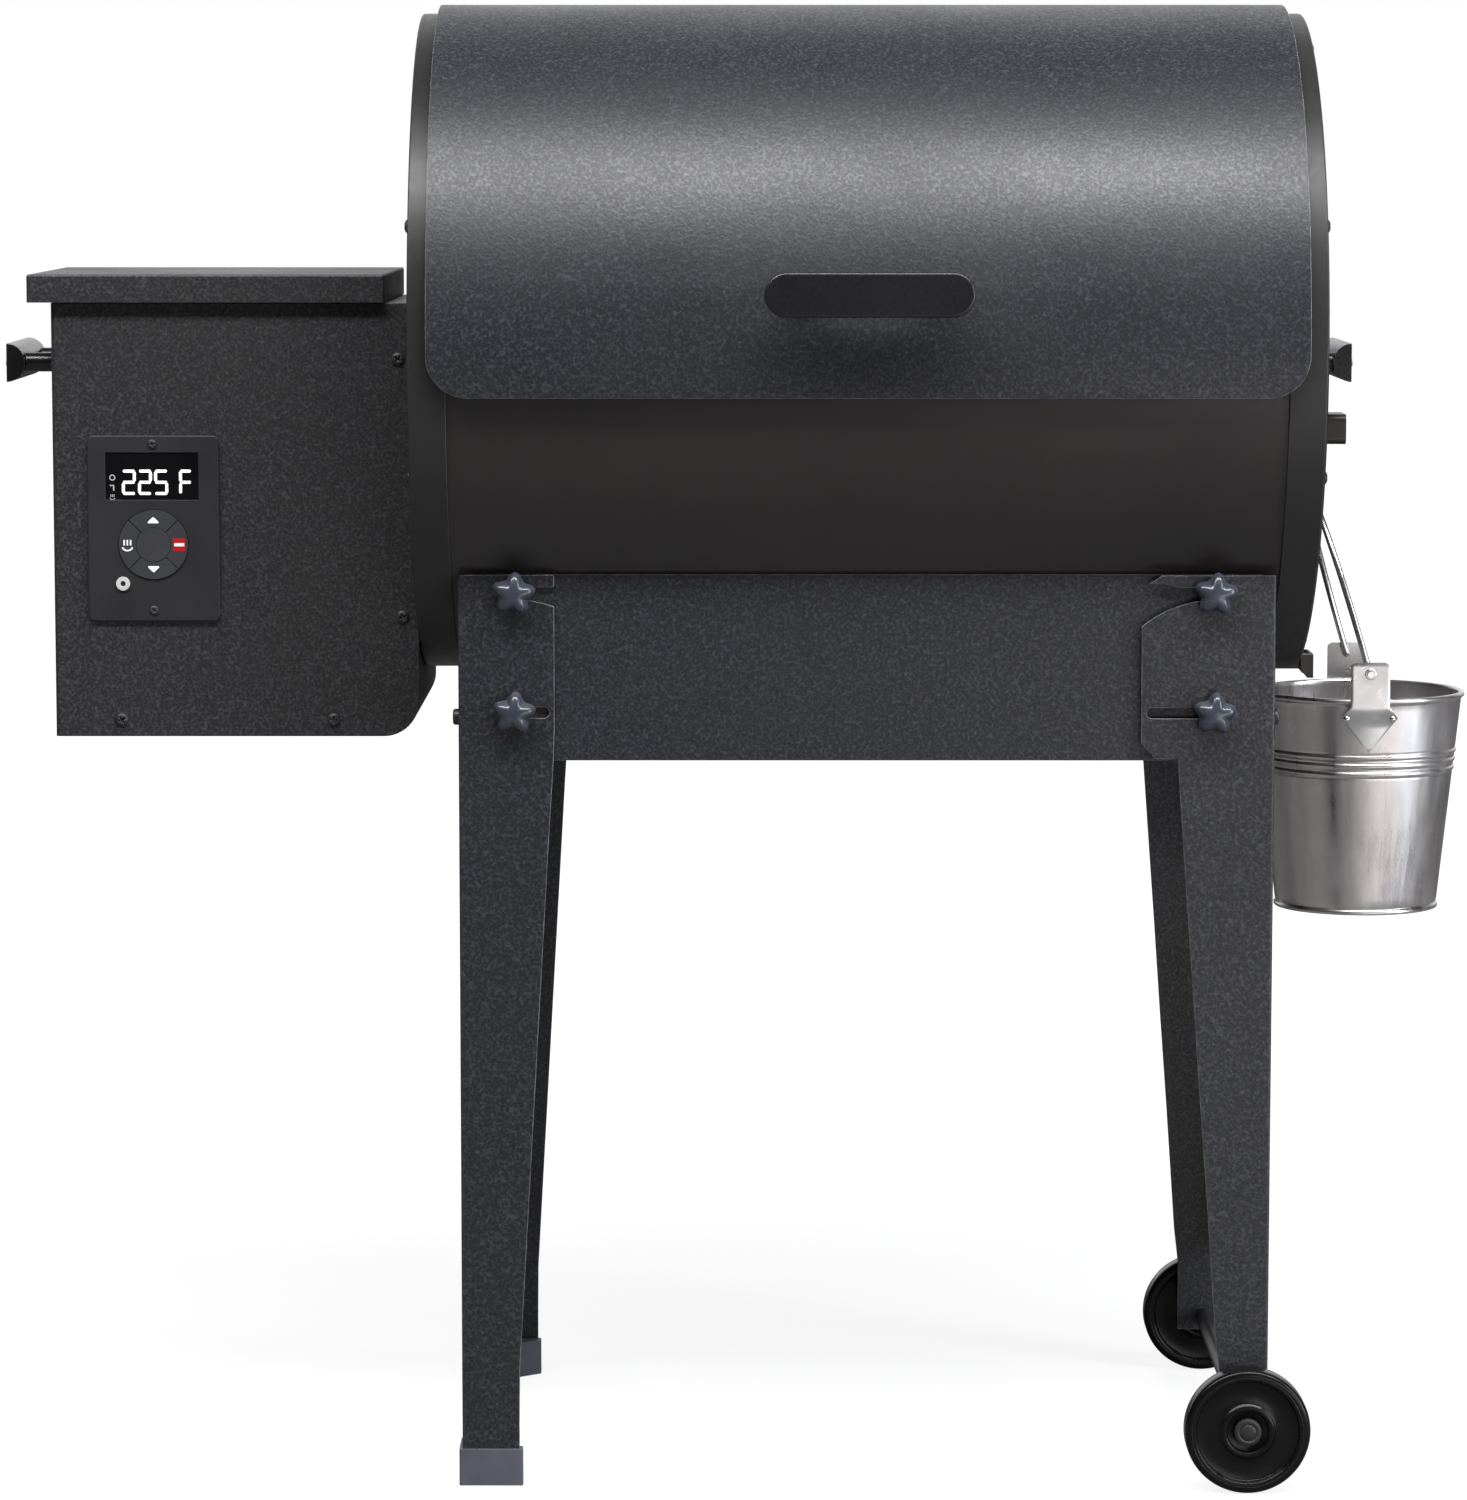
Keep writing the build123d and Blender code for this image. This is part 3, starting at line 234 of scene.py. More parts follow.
def metal(name, dark, light, rough, streak, strength=0.15, lit_worn_edge_color=(0.8, 0.8, 0.8),
          spangle=0.0, dents=0.0, soft_edges=True):
    """Bare metal; streak is the coordinate scale of the grain along X, Y and Z.

    Thin sheet and wire go without soft edges: they keep their own normals and get scuffs.
    """
    m = Mat(name)
    streaks = m.noise(12.0, detail=5, rough=0.65, vector=m.scaled(streak))
    normal = m.bevel(0.0006) if soft_edges else None
    color = m.mix(m.remap(streaks, 0, 1), dark, light)
    if spangle:
        cells = m.voronoi(70.0, "F1").outputs["Color"]
        color = m.mix(m.remap(cells, 0.0, spangle, span=(0.0, 1.0)), color, tint(light, 1.25))
    # Soft edges take the edge colour as partly wear and partly a painted edge highlight; the others
    # take it as real scuffs.
    if soft_edges:
        scuff_and_edge_highlight = m.multiply(m.edge_mask(normal), 0.5)
    else:
        scuffs = m.noise(85.0, detail=5, rough=0.7, distortion=0.4)
        scuff_and_edge_highlight = m.remap(scuffs, 0.0, 0.35, span=(0.56, 0.72))
    color = m.mix(scuff_and_edge_highlight, color, lit_worn_edge_color)
    normal = m.bump(streaks, strength, 0.0002, normal)
    if dents:
        waves = m.noise(28.0, detail=2.5, rough=0.5, distortion=0.6)
        normal = m.bump(waves, dents, 0.002, normal)
    roughness = m.add(m.remap(streaks, rough - 0.07, rough + 0.1),
                      m.remap(m.noise(20, detail=3), -0.05, 0.07))
    return m.set(color=color, rough=roughness, metallic=1.0, normal=normal)


def plastic(name, dark, light, rough, scale=900, strength=0.05, lit_worn_edge_color=None,
            spec=0.5, clear=0.0, bevel=0.0006):
    m = Mat(name)
    grain = m.noise(scale, detail=3, rough=0.6)
    patches = m.noise(30.0, detail=3.0)
    normal = m.bevel(bevel)
    color = m.mix(m.remap(patches, 0, 1), dark, light)
    # Light edge colour: partly edge wear, partly a painted edge highlight.
    if lit_worn_edge_color:
        color = m.mix(m.multiply(m.edge_mask(normal), 0.5), color, lit_worn_edge_color)
    roughness = m.add(m.remap(grain, rough - 0.03, rough + 0.05), m.remap(patches, -0.03, 0.05))
    return m.set(color=color, rough=roughness, spec=spec, coat=clear, coat_rough=0.12,
                 normal=m.bump(grain, strength, 0.0002, normal))


def print_ink(name, color, glow):
    m = Mat(name)
    grain = m.noise(1500, detail=2)
    ink = m.mix(m.remap(grain, 0, 0.25), color, tint(color, 0.82))
    # Emission: real light for the lit display digits, painted brightness for the printed key marks.
    return m.set(color=ink, rough=m.remap(grain, 0.35, 0.5),
                 normal=m.bump(grain, 0.05, 0.0001), emit=ink, emit_strength=glow)


# ------------------------------------------------------------------ materials
# The edge colours below are lighter edges: partly wear, partly a painted edge highlight.
COAT = powder_coat("textured_coat", dark=(0.0080, 0.0083, 0.0100), light=(0.0150, 0.0155, 0.0188),
                   rough=0.385, lit_worn_edge_color=(0.42, 0.42, 0.44),
                   scale=640, strength=0.55, depth=0.00032)
HOPPER = powder_coat("hopper_coat", dark=(0.0095, 0.0095, 0.0100), light=(0.0185, 0.0185, 0.0200),
                     rough=0.44, lit_worn_edge_color=(0.16, 0.16, 0.17),
                     scale=700, strength=0.5, depth=0.0003)
BODY = enamel("body_enamel", dark=(0.0165, 0.0138, 0.0128), light=(0.0255, 0.0212, 0.0192),
              rough=0.36, lit_worn_edge_color=(0.09, 0.085, 0.08), scale=300, strength=0.05)
BAND = enamel("band_enamel", dark=(0.016, 0.0155, 0.016), light=(0.026, 0.025, 0.026),
              rough=0.40, lit_worn_edge_color=(0.16, 0.16, 0.165), scale=300, strength=0.07, spec=0.38)
HANDLE = enamel("handle_black", dark=(0.008, 0.008, 0.009), light=(0.013, 0.013, 0.0145),
                rough=0.26, lit_worn_edge_color=(0.30, 0.30, 0.31), scale=500, strength=0.04, spec=0.45)
KNOB = plastic("knob_plastic", dark=(0.030, 0.034, 0.048), light=(0.046, 0.052, 0.070),
               rough=0.27, scale=1200, strength=0.03, lit_worn_edge_color=(0.12, 0.12, 0.15), clear=0.4)
WHEEL = plastic("wheel_plastic", dark=(0.0030, 0.0029, 0.0029), light=(0.0052, 0.0050, 0.0050),
                rough=0.22, scale=500, strength=0.03, lit_worn_edge_color=(0.06, 0.06, 0.063), spec=0.22)
FOOT = plastic("foot_plastic", dark=(0.082, 0.082, 0.105), light=(0.115, 0.115, 0.143),
               rough=0.50, strength=0.08, lit_worn_edge_color=(0.34, 0.34, 0.37))
BEZEL = plastic("bezel_plastic", dark=(0.012, 0.0117, 0.0138), light=(0.0155, 0.015, 0.0175),
                rough=0.56, scale=1500, strength=0.08, lit_worn_edge_color=(0.10, 0.10, 0.11))
KEY = plastic("key_plastic", dark=(0.033, 0.034, 0.040), light=(0.042, 0.043, 0.050),
              rough=0.45, scale=1500, lit_worn_edge_color=(0.05, 0.05, 0.055), bevel=0.0003)
# Near-black: painted shade for the gaps between the keys and inside the jack bore.
GAP_SHADE = plastic("painted_gap_shade", dark=(0.004, 0.004, 0.004), light=(0.006, 0.006, 0.006),
                 rough=0.6, strength=0.02)
ZINC = metal("zinc_plate", dark=(0.50, 0.50, 0.50), light=(0.70, 0.70, 0.71), rough=0.28,
             streak=(60, 60, 60))
CHROME = metal("bright_plate", dark=(0.60, 0.60, 0.60), light=(0.76, 0.76, 0.76), rough=0.22,
               streak=(60, 60, 60), strength=0.01, soft_edges=False)
GALVANISED = metal("galvanised", dark=(0.55, 0.52, 0.51), light=(0.68, 0.645, 0.64), rough=0.29,
                   streak=(9, 9, 0.8), strength=0.015, lit_worn_edge_color=(0.80, 0.76, 0.74),
                   spangle=0.06, dents=0.05, soft_edges=False)
EAR = metal("ear_plate", dark=(0.55, 0.545, 0.545), light=(0.70, 0.695, 0.695), rough=0.30,
            streak=(6, 6, 6), strength=0.02, soft_edges=False)
STEEL = metal("raw_steel", dark=(0.30, 0.29, 0.28), light=(0.46, 0.44, 0.42), rough=0.40,
              streak=(8, 60, 60))
CAST = enamel("cast_rough", dark=(0.030, 0.027, 0.025), light=(0.075, 0.065, 0.058), rough=0.62,
              lit_worn_edge_color=(0.2, 0.19, 0.18), scale=180, strength=0.45, metallic=0.6)
PORCELAIN = enamel("porcelain", dark=(0.014, 0.014, 0.015), light=(0.028, 0.028, 0.030),
                   rough=0.22, lit_worn_edge_color=(0.10, 0.10, 0.10), scale=240, strength=0.06, clear=0.3)
JACK = plastic("jack_ring", dark=(0.52, 0.51, 0.49), light=(0.70, 0.69, 0.67), rough=0.32,
               strength=0.04, lit_worn_edge_color=(0.75, 0.74, 0.72))
NYLON = plastic("nylon", dark=(0.55, 0.54, 0.48), light=(0.66, 0.65, 0.60), rough=0.45)
GLASS = plastic("display_glass", dark=(0.003, 0.003, 0.0035), light=(0.005, 0.005, 0.006),
                rough=0.10, scale=300, strength=0.005, clear=0.6)
# The white key print glows: painted brightness, as the ink is no lamp.
WHITE = print_ink("white_print", (0.86, 0.86, 0.86), glow=0.35)
DIGIT = print_ink("lit_digit", (0.95, 0.96, 0.97), glow=1.0)
DIM = print_ink("dim_icon", (0.42, 0.42, 0.42), glow=0.10)
# The red key print glows faintly as well: painted brightness.
RED = print_ink("red_print", (0.48, 0.004, 0.006), glow=0.08)

# ------------------------------------------------------------------ materials of the CAD nodes
BY_SLOT = {"textured_coat": COAT, "body_coat": BODY, "hopper_coat": HOPPER,
           "black_plastic": BEZEL, "wheel_plastic": WHEEL, "foot_plastic": FOOT, "zinc": ZINC,
           "galvanised": GALVANISED, "raw_steel": STEEL, "cast": CAST, "enamel": PORCELAIN,
           "display": GLASS, "nylon": NYLON}
# nodes that don't take the material of their slot
EXCEPTIONS = (
    (BAND, "left_end_cap right_end_cap case_screws lid_hinge_leaves"),
    (HANDLE, "lid_handle left_carry_handle right_carry_handle"),
    (KEY, "button_up button_down button_left button_right button_center"),
    (JACK, "probe_jack"),
    (CHROME, "bucket_bail"),
    (BODY, "wheel_axle"),
    (BEZEL, "control_bezel"),
)


def paint_cad_nodes():
    slot_of = {part["node"]: part["material_slot"] for part in frame["record"]["subparts"]}
    by_node = {node: material for material, nodes in EXCEPTIONS for node in nodes.split()}
    for name, obj in NODES.items():
        mesh = obj.data
        material = by_node.get(name) or BY_SLOT[slot_of[name]]
        mesh.materials.clear()
        mesh.materials.append(material)
        mesh.polygons.foreach_set("material_index", [0] * len(mesh.polygons))


paint_cad_nodes()


# ------------------------------------------------------------------ mesh helpers
# A shape is a (vertices, faces) pair: vertices in metres about the drawing origin.
def make(name, shape, material, body, angle=40, replaces=None):
    """Object from a shape; edges turning by angle degrees or more are sharp."""
    verts, faces = shape
    mesh = bpy.data.meshes.new(name)
    mesh.from_pydata([tuple(v) for v in verts], [], faces)
    mesh.validate()
    bm = bmesh.new()
    bm.from_mesh(mesh)
    bmesh.ops.translate(bm, verts=bm.verts, vec=FRAME_OFFSET)
    bmesh.ops.remove_doubles(bm, verts=bm.verts, dist=1e-7)
    bmesh.ops.recalc_face_normals(bm, faces=bm.faces)
    for edge in bm.edges:
        if len(edge.link_faces) == 2:
            edge.smooth = edge.calc_face_angle(0.0) < math.radians(angle)
    for face in bm.faces:
        face.smooth = True
    bm.to_mesh(mesh)
    bm.free()
    obj = bpy.data.objects.new(name, mesh)
    bpy.context.scene.collection.objects.link(obj)
    mesh.materials.append(material)
    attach(obj, body)
    if replaces:
        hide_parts(replaces)


def join(shapes):
    verts, faces = [], []
    for part_verts, part_faces in shapes:
        first = len(verts)
        verts += part_verts
        faces += [tuple(i + first for i in face) for face in part_faces]
    return verts, faces


# two directions across each turning axis, then the direction along it
AXES = {"Y": (Vector((1, 0, 0)), Vector((0, 0, 1)), Vector((0, 1, 0))),
        "Z": (Vector((1, 0, 0)), Vector((0, 1, 0)), Vector((0, 0, 1)))}


def lathe(profile, center, count, axis="Y", closed=False):
    """Turn (radius, distance along the axis) points; closed joins the last to the first."""
    across, up, along = AXES[axis]
    origin = Vector(center) * MM
    verts, faces, rings = [], [], []
    for radius, distance in profile:
        first = len(verts)
        if radius == 0:
            verts.append(origin + along * distance * MM)
        else:
            for i in range(count):
                a = 2 * math.pi * i / count
                spoke = across * math.cos(a) + up * math.sin(a)
                verts.append(origin + spoke * radius * MM + along * distance * MM)
        rings.append(range(first, len(verts)))
    for a, b in zip(rings, rings[1:] + rings[:1] if closed else rings[1:]):
        for j in range(count):
            k = (j + 1) % count
            if len(a) == 1:
                faces.append((a[0], b[j], b[k]))
            elif len(b) == 1:
                faces.append((a[j], a[k], b[0]))
            else:
                faces.append((a[j], a[k], b[k], b[j]))
    return verts, faces


def facing(profile, side):
    """Lathe profile pointed towards FRONT or REAR."""
    return [(radius, side * distance) for radius, distance in profile]


def disc(center, radius, depth, count):
    return lathe([(0, 0), (radius, 0), (radius, depth), (0, depth)], center, count)


def tube_faces(rings, count):
    """Quads between successive rings of count vertices."""
    return [(i * count + j, i * count + (j + 1) % count,
             (i + 1) * count + (j + 1) % count, (i + 1) * count + j)
            for i in range(rings - 1) for j in range(count)]


def prism(outline, depth):
    """Extrude (x, z) points between the two Y values of depth."""
    n = len(outline)
    verts = [Vector((x, y, z)) * MM for y in depth for x, z in outline]
    faces = [tuple(range(n)), tuple(range(2 * n - 1, n - 1, -1))]
    faces += [(i, (i + 1) % n, n + (i + 1) % n, n + i) for i in range(n)]
    return verts, faces


def rectangle(x0, z0, x1, z1):
    return [(x0, z0), (x1, z0), (x1, z1), (x0, z1)]


def rounded(points, radius):
    """Outline of (x, z) points with each corner turned into an arc of three steps."""
    steps = 3
    out = []
    for i, point in enumerate(points):
        corner = Vector(point)
        before = Vector(points[i - 1]) - corner
        after = Vector(points[(i + 1) % len(points)]) - corner
        half_angle = before.angle(after) / 2
        # the arc may use at most 45 % of either side
        setback = min(radius / math.tan(half_angle), before.length * 0.45, after.length * 0.45)
        fitted = setback * math.tan(half_angle)
        before.normalize()
        after.normalize()
        center = corner + (before + after).normalized() * (fitted / math.sin(half_angle))
        start = corner + before * setback - center
        end = corner + after * setback - center
        turn = start.angle(end) * (1 if start.cross(end) > 0 else -1)
        for k in range(steps + 1):
            c, s = math.cos(turn * k / steps), math.sin(turn * k / steps)
            out.append((center.x + start.x * c - start.y * s, center.y + start.x * s + start.y * c))
    return out


def wire(points, radius, count):
    """Round wire with flat ends; it must not start along Z."""
    path = [Vector(p) * MM for p in points]
    last = len(path) - 1
    verts = []
    across = (path[1] - path[0]).normalized().cross(Vector((0, 0, 1))).normalized()
    for i, p in enumerate(path):
        along = (path[min(i + 1, last)] - path[max(i - 1, 0)]).normalized()
        across = (across - along * across.dot(along)).normalized()
        up = along.cross(across)
        for k in range(count):
            a = 2 * math.pi * k / count
            verts.append(p + (across * math.cos(a) + up * math.sin(a)) * radius * MM)
    faces = tube_faces(len(path), count)
    faces.append(tuple(range(count - 1, -1, -1)))
    faces.append(tuple(range(last * count, len(path) * count)))
    return verts, faces


def bezier(p0, p1, p2, p3, steps):
    out = []
    for i in range(steps + 1):
        t = i / steps
        out.append(Vector(p0) * (1 - t) ** 3 + Vector(p1) * 3 * t * (1 - t) ** 2
                   + Vector(p2) * 3 * t * t * (1 - t) + Vector(p3) * t ** 3)
    return out


# ------------------------------------------------------------------ star knobs
STUD_RADIUS = 2.5
KNOB_GAP = 0.3          # between the seat and the hub
KNOB_COUNT = 120        # vertices round the star
KNOB_FACE = 13.9        # height of the flat middle of the face
LOW_Z, UP_Z = 482, 555
LEFT_X, LEFT_SEAT = -214, 156.4
RIGHT_X, RIGHT_SEAT = 213, 159.0
# name, x, z, side, distance of the seat from the middle plane
KNOBS = [
    ("knob_front_left_low", LEFT_X, LOW_Z, FRONT, LEFT_SEAT),
    ("knob_front_left_up", LEFT_X, UP_Z, FRONT, LEFT_SEAT),
    ("knob_front_right_low", RIGHT_X, LOW_Z, FRONT, RIGHT_SEAT),
    ("knob_front_right_up", RIGHT_X, UP_Z, FRONT, RIGHT_SEAT),
    ("knob_rear_left_up", LEFT_X, UP_Z, REAR, LEFT_SEAT),
    ("knob_rear_right_up", RIGHT_X, UP_Z, REAR, RIGHT_SEAT),
]
# height above the base, radial offset from the lobed outline
KNOB_RINGS = [
    (3.0, -5.5), (3.0, -1.6), (3.3, -0.7), (4.0, -0.15), (5.2, 0.0), (6.2, -0.1), (6.9, -0.5),
    (7.2, -1.0), (7.5, -1.05), (8.2, -0.95), (9.2, -1.2), (10.2, -1.7), (11.2, -2.5),
    (12.0, -3.4), (12.7, -4.5), (13.3, -5.8), (13.7, -7.2), (13.85, -8.6), (KNOB_FACE, -10.0)]
# radius, height above the base
HUB = [(STUD_RADIUS + 0.05, 0.0), (7.2, 0.0), (7.5, 0.35), (7.5, 3.2), (STUD_RADIUS + 0.05, 3.2)]
KNOB_CENTER = [(1.0, KNOB_FACE), (0.5, KNOB_FACE), (0, KNOB_FACE)]


def knob_radius(angle, offset):
    """Five-lobed outline, relaxing towards a circle away from the rim."""
    lobe = math.cos(5 * angle - 0.45)
    radius = 11.55 + 1.95 * (lobe if lobe > 0 else lobe * 0.92) + offset
    if offset < -2.6:
        roundness = min(1.0, (-offset - 2.6) / 4.6)
        radius = radius * (1 - roundness) + (11.0 + offset) * roundness
    return radius


def star_knob(name, x, z, side, seat):
    base = seat + KNOB_GAP
    verts = []
    for height, offset in KNOB_RINGS:
        for i in range(KNOB_COUNT):
            a = 2 * math.pi * i / KNOB_COUNT
            r = knob_radius(a, offset)
            verts.append(Vector((x + r * math.sin(a), side * (base + height),
                                 z + r * math.cos(a))) * MM)
    star = (verts, tube_faces(len(KNOB_RINGS), KNOB_COUNT))
    center = (x, side * base, z)
    hub = lathe(facing(HUB, side), center, 40, closed=True)
    middle = lathe(facing(KNOB_CENTER, side), center, KNOB_COUNT)
    make(name + "_body", join([star, hub, middle]), KNOB, "b_" + name,
         angle=50, replaces=name)


for knob in KNOBS:
    star_knob(*knob)

# ------------------------------------------------------------------ wheels and axle
WHEEL_X = 236.5
WHEEL_RADIUS = 38.8                     # the wheels stand on the floor
WHEEL_NEAR, WHEEL_FAR = 160.5, 178.5    # faces, from the middle plane
AXLE_END = WHEEL_FAR + 1.0
# radius, depth below the rim: hub recess, hub ring, flat disc, rim lip with a fine groove, tread
WHEEL_FACE = [
    (5.05, 4.2), (12.2, 4.2), (12.7, 3.9), (13.0, 1.9), (13.5, 1.35), (14.6, 1.15), (15.8, 1.3),
    (16.6, 1.9), (17.2, 2.7), (18.0, 3.05), (24.0, 3.1), (30.2, 3.05), (30.9, 2.8), (31.5, 1.6),
    (31.9, 0.6), (32.6, 0.1), (33.6, 0.0), (34.0, 0.02), (34.25, 0.35), (34.5, 0.02),
    (35.6, 0.05), (36.8, 0.35), (37.8, 1.1), (38.5, 2.3), (WHEEL_RADIUS, 3.9),
    (WHEEL_RADIUS, 5.2), (WHEEL_RADIUS - 0.4, 5.6), (WHEEL_RADIUS, 6.0)]
# radius, distance from the middle plane: dished cap, bar through the hub, shoulder
AXLE_HALF = [(r, AXLE_END - d) for r, d in (
    (0, 0), (3.0, 0.1), (4.6, 0.5), (5.1, 1.1), (5.6, 0.9), (5.9, 0.3), (6.6, 0.25), (7.9, 0.7),
    (8.5, 1.8), (8.45, 3.5), (8.0, 4.0), (5.0, 4.0))]
AXLE_HALF += [(5.0, 160.3), (8.7, 160.25), (9.0, 159.9), (9.0, 159.4), (8.7, 159.1), (5.0, 159.05)]


def wheel(name, side, body, node):
    width = WHEEL_FAR - WHEEL_NEAR
    profile = [(r, width - d) for r, d in WHEEL_FACE] + WHEEL_FACE[::-1]
    shape = lathe(facing(profile, side), (WHEEL_X, side * WHEEL_NEAR, WHEEL_RADIUS), 128,
                  closed=True)
    make(name, shape, WHEEL, body, angle=38, replaces=node)


def axle():
    """One bar across both legs."""
    profile = facing(AXLE_HALF, FRONT) + AXLE_HALF[::-1]
    make("axle_bar", lathe(profile, (WHEEL_X, 0, WHEEL_RADIUS), 64), BAND, "right_legs",
         replaces="wheel_axle")


wheel("front_wheel_disc", FRONT, "front_wheel", "wheel_front")
wheel("rear_wheel_disc", REAR, "rear_wheel", "wheel_rear")
axle()

# ------------------------------------------------------------------ bucket
BUCKET_X = 318.5
BASE_Z, RIM_Z = 342.0, 481.0
BASE_R, RIM_R = 51.0, 66.0
BUCKET_H = RIM_Z - BASE_Z
SHEET = 1.2
RIBS = (BUCKET_H - 38, BUCKET_H - 43.5, BUCKET_H - 49)
RIB_HALF = 2.4          # half width of a rolled rib


def wall(height):
    """Outside radius of the plain tapered wall."""
    return BASE_R + (RIM_R - BASE_R) * height / BUCKET_H


def bucket_outside():
    """Foot bead, then the wall with its three ribs in finer steps."""
    points = [(BASE_R - 0.5, 0.0), (BASE_R + 0.7, 0.0), (BASE_R + 1.2, 0.6), (BASE_R + 1.25, 2.2),
              (BASE_R + 0.6, 3.0), (BASE_R - 0.15, 3.5), (BASE_R + 0.15, 4.1), (wall(5.5), 5.5)]
    h = 10.0
    while h < BUCKET_H - 6:
        near = min(abs(h - rib) for rib in RIBS)
        bulge = 0.0
        if near < RIB_HALF:
            bulge = 0.85 * math.cos(near / RIB_HALF * math.pi / 2) ** 2
            if near > 1.6:
                bulge -= 0.25       # shallow groove beside the rib
        points.append((wall(h) + bulge, h))
        h += 0.6 if near < 5 else 4.0
    return points


def bucket_wall():
    """Thin wall with a rolled rim; points are (radius, height above the base)."""
    bottom = [(0, 2.0), (BASE_R - 3.0, 2.0), (BASE_R - 1.0, 1.8), (BASE_R - 0.7, 0.6)]
    rim = [(wall(BUCKET_H - 5.2), BUCKET_H - 5.2), (wall(BUCKET_H - 4.6) + 0.1, BUCKET_H - 4.6)]
    for k in range(13):
        a = math.radians(-80 + 20 * k)
        rim.append((RIM_R - 0.35 + 1.9 * math.cos(a), BUCKET_H - 2.0 + 1.95 * math.sin(a)))
    inside = [(RIM_R - 1.6, BUCKET_H - 4.0)]
    inside += [(wall(h) - SHEET, h) for h in (BUCKET_H - 20, BUCKET_H - 60, 20.0, 6.0)]
    inside += [(wall(4) - 2 * SHEET, 3.4), (BASE_R - 6, 3.0), (0, 2.9)]
    profile = (bottom + bucket_outside() + rim + inside)[::-1]
    make("bucket_wall", lathe(profile, (BUCKET_X, 0, BASE_Z), 144, axis="Z"), GALVANISED,
         "bucket", angle=45, replaces="drip_bucket")


# Ears: a tab above the rim, widening below it to a kite plate that hugs the wall.
EAR_LOW, EAR_WIDEST, EAR_NECK, EAR_TOP = 447.0, 468.6, 476.5, 504.3     # z
PLATE_HALF, TAB_HALF = 18.0, 12.25      # half widths
TAB_CORNER = 2.6
TAB_Y = 69.4            # outer face of the tab
EAR_SHEET = 1.3
EAR_EDGE = 0.35         # the border of the outer skin is set in by this
EAR_COLUMNS, EAR_ROWS = 29, 40
HOLE_Z = 497.0          # hole for the end of the bail
# radius, distance out of the sheet
RIVET = [(2.3, -1.0), (2.3, 0.0), (1.9, 0.7), (1.1, 1.3), (0, 1.5)]
HOLE_RIM = [(2.3, -0.2), (2.4, 0.45), (3.0, 0.6), (3.5, 0.35), (3.7, -0.2)]


def ear_half_width(z):
    if z < EAR_WIDEST:
        return PLATE_HALF * (z - EAR_LOW) / (EAR_WIDEST - EAR_LOW)
    if z < EAR_NECK:
        narrowing = (z - EAR_WIDEST) / (EAR_NECK - EAR_WIDEST)
        return PLATE_HALF - (PLATE_HALF - TAB_HALF) * narrowing
    if z > EAR_TOP - TAB_CORNER:
        rise = z - (EAR_TOP - TAB_CORNER)
        return TAB_HALF - TAB_CORNER + math.sqrt(max(0.0, TAB_CORNER ** 2 - rise ** 2))
    return TAB_HALF


def ear_y(x, z):
    """Outer face: curved with the wall below, easing out to the flat tab above."""
    radius = wall(z - BASE_Z) + 1.35
    t = min(1.0, max(0.0, (z - 463.0) / 13.0))
    ease = t * t * (3 - 2 * t)
    return math.sqrt(radius * radius - x * x) * (1 - ease) + TAB_Y * ease


def ear_plate(name, side):
    rows, columns = EAR_ROWS - 1, EAR_COLUMNS - 1
    levels = [EAR_LOW + (EAR_TOP - EAR_LOW) * j / rows for j in range(EAR_ROWS)]
    levels[0] += 0.05       # keeps the lowest row from closing to a point
    verts, faces = [], []
    for skin in (0, 1):     # outer, inner
        for j, z in enumerate(levels):
            half = ear_half_width(z)
            for i in range(EAR_COLUMNS):
                x = -half + 2 * half * i / columns
                y = ear_y(x, z)
                if skin:
                    y -= EAR_SHEET
                elif i in (0, columns) or j in (0, rows):
                    y -= EAR_EDGE
                verts.append(Vector((BUCKET_X + x, side * y, z)) * MM)

    def at(skin, j, i):
        return (skin * EAR_ROWS + j) * EAR_COLUMNS + i

    for skin in (0, 1):
        for j in range(rows):
            for i in range(columns):
                quad = (at(skin, j, i), at(skin, j, i + 1),
                        at(skin, j + 1, i + 1), at(skin, j + 1, i))
                faces.append(quad[::-1] if skin else quad)
    for j in range(rows):
        for i in (0, columns):
            quad = (at(0, j, i), at(0, j + 1, i), at(1, j + 1, i), at(1, j, i))
            faces.append(quad[::-1] if i else quad)
    for i in range(columns):
        faces.append((at(0, 0, i), at(1, 0, i), at(1, 0, i + 1), at(0, 0, i + 1)))
        faces.append((at(0, rows, i + 1), at(1, rows, i + 1), at(1, rows, i), at(0, rows, i)))
    make(name, (verts, faces), EAR, "bucket")


def ear(name, side):
    ear_plate(name, side)
    parts = [lathe(facing(RIVET, side),
                   (BUCKET_X + x, side * ear_y(x, EAR_WIDEST), EAR_WIDEST), 24)
             for x in (-14.4, 14.4)]
    parts.append(lathe(facing(HOLE_RIM, side), (BUCKET_X, side * TAB_Y, HOLE_Z), 40))
    make(name + "_rivets", join(parts), CHROME, "bucket", angle=60)


def bucket_seam():
    """Raised strip up the wall, towards the right rear."""
    steps = 40
    section = ((-3.0, 0.0), (-2.6, 0.45), (2.6, 0.45), (3.0, 0.0))     # along the wall, out of it
    verts, faces = [], []
    for k in range(steps + 1):
        h = 6 + (BUCKET_H - 12) * k / steps
        for along, proud in section:
            a = math.radians(60) + along / wall(h)
            r = wall(h) + proud - 0.1
            verts.append(Vector((BUCKET_X + r * math.cos(a), r * math.sin(a), BASE_Z + h)) * MM)
    for k in range(steps):
        for j in range(3):
            low, high = k * 4 + j, (k + 1) * 4 + j
            faces.append((low, low + 1, high + 1, high))
    make("bucket_seam", (verts, faces), GALVANISED, "bucket", angle=60)


bucket_wall()
ear("bucket_ear_front", FRONT)
ear("bucket_ear_rear", REAR)
bucket_seam()

# ------------------------------------------------------------------ bail
BAIL_TOP_X, BAIL_TOP_Z = 284.0, 613.3
BAIL_LENGTH = math.hypot(BAIL_TOP_X - BUCKET_X, BAIL_TOP_Z - HOLE_Z)


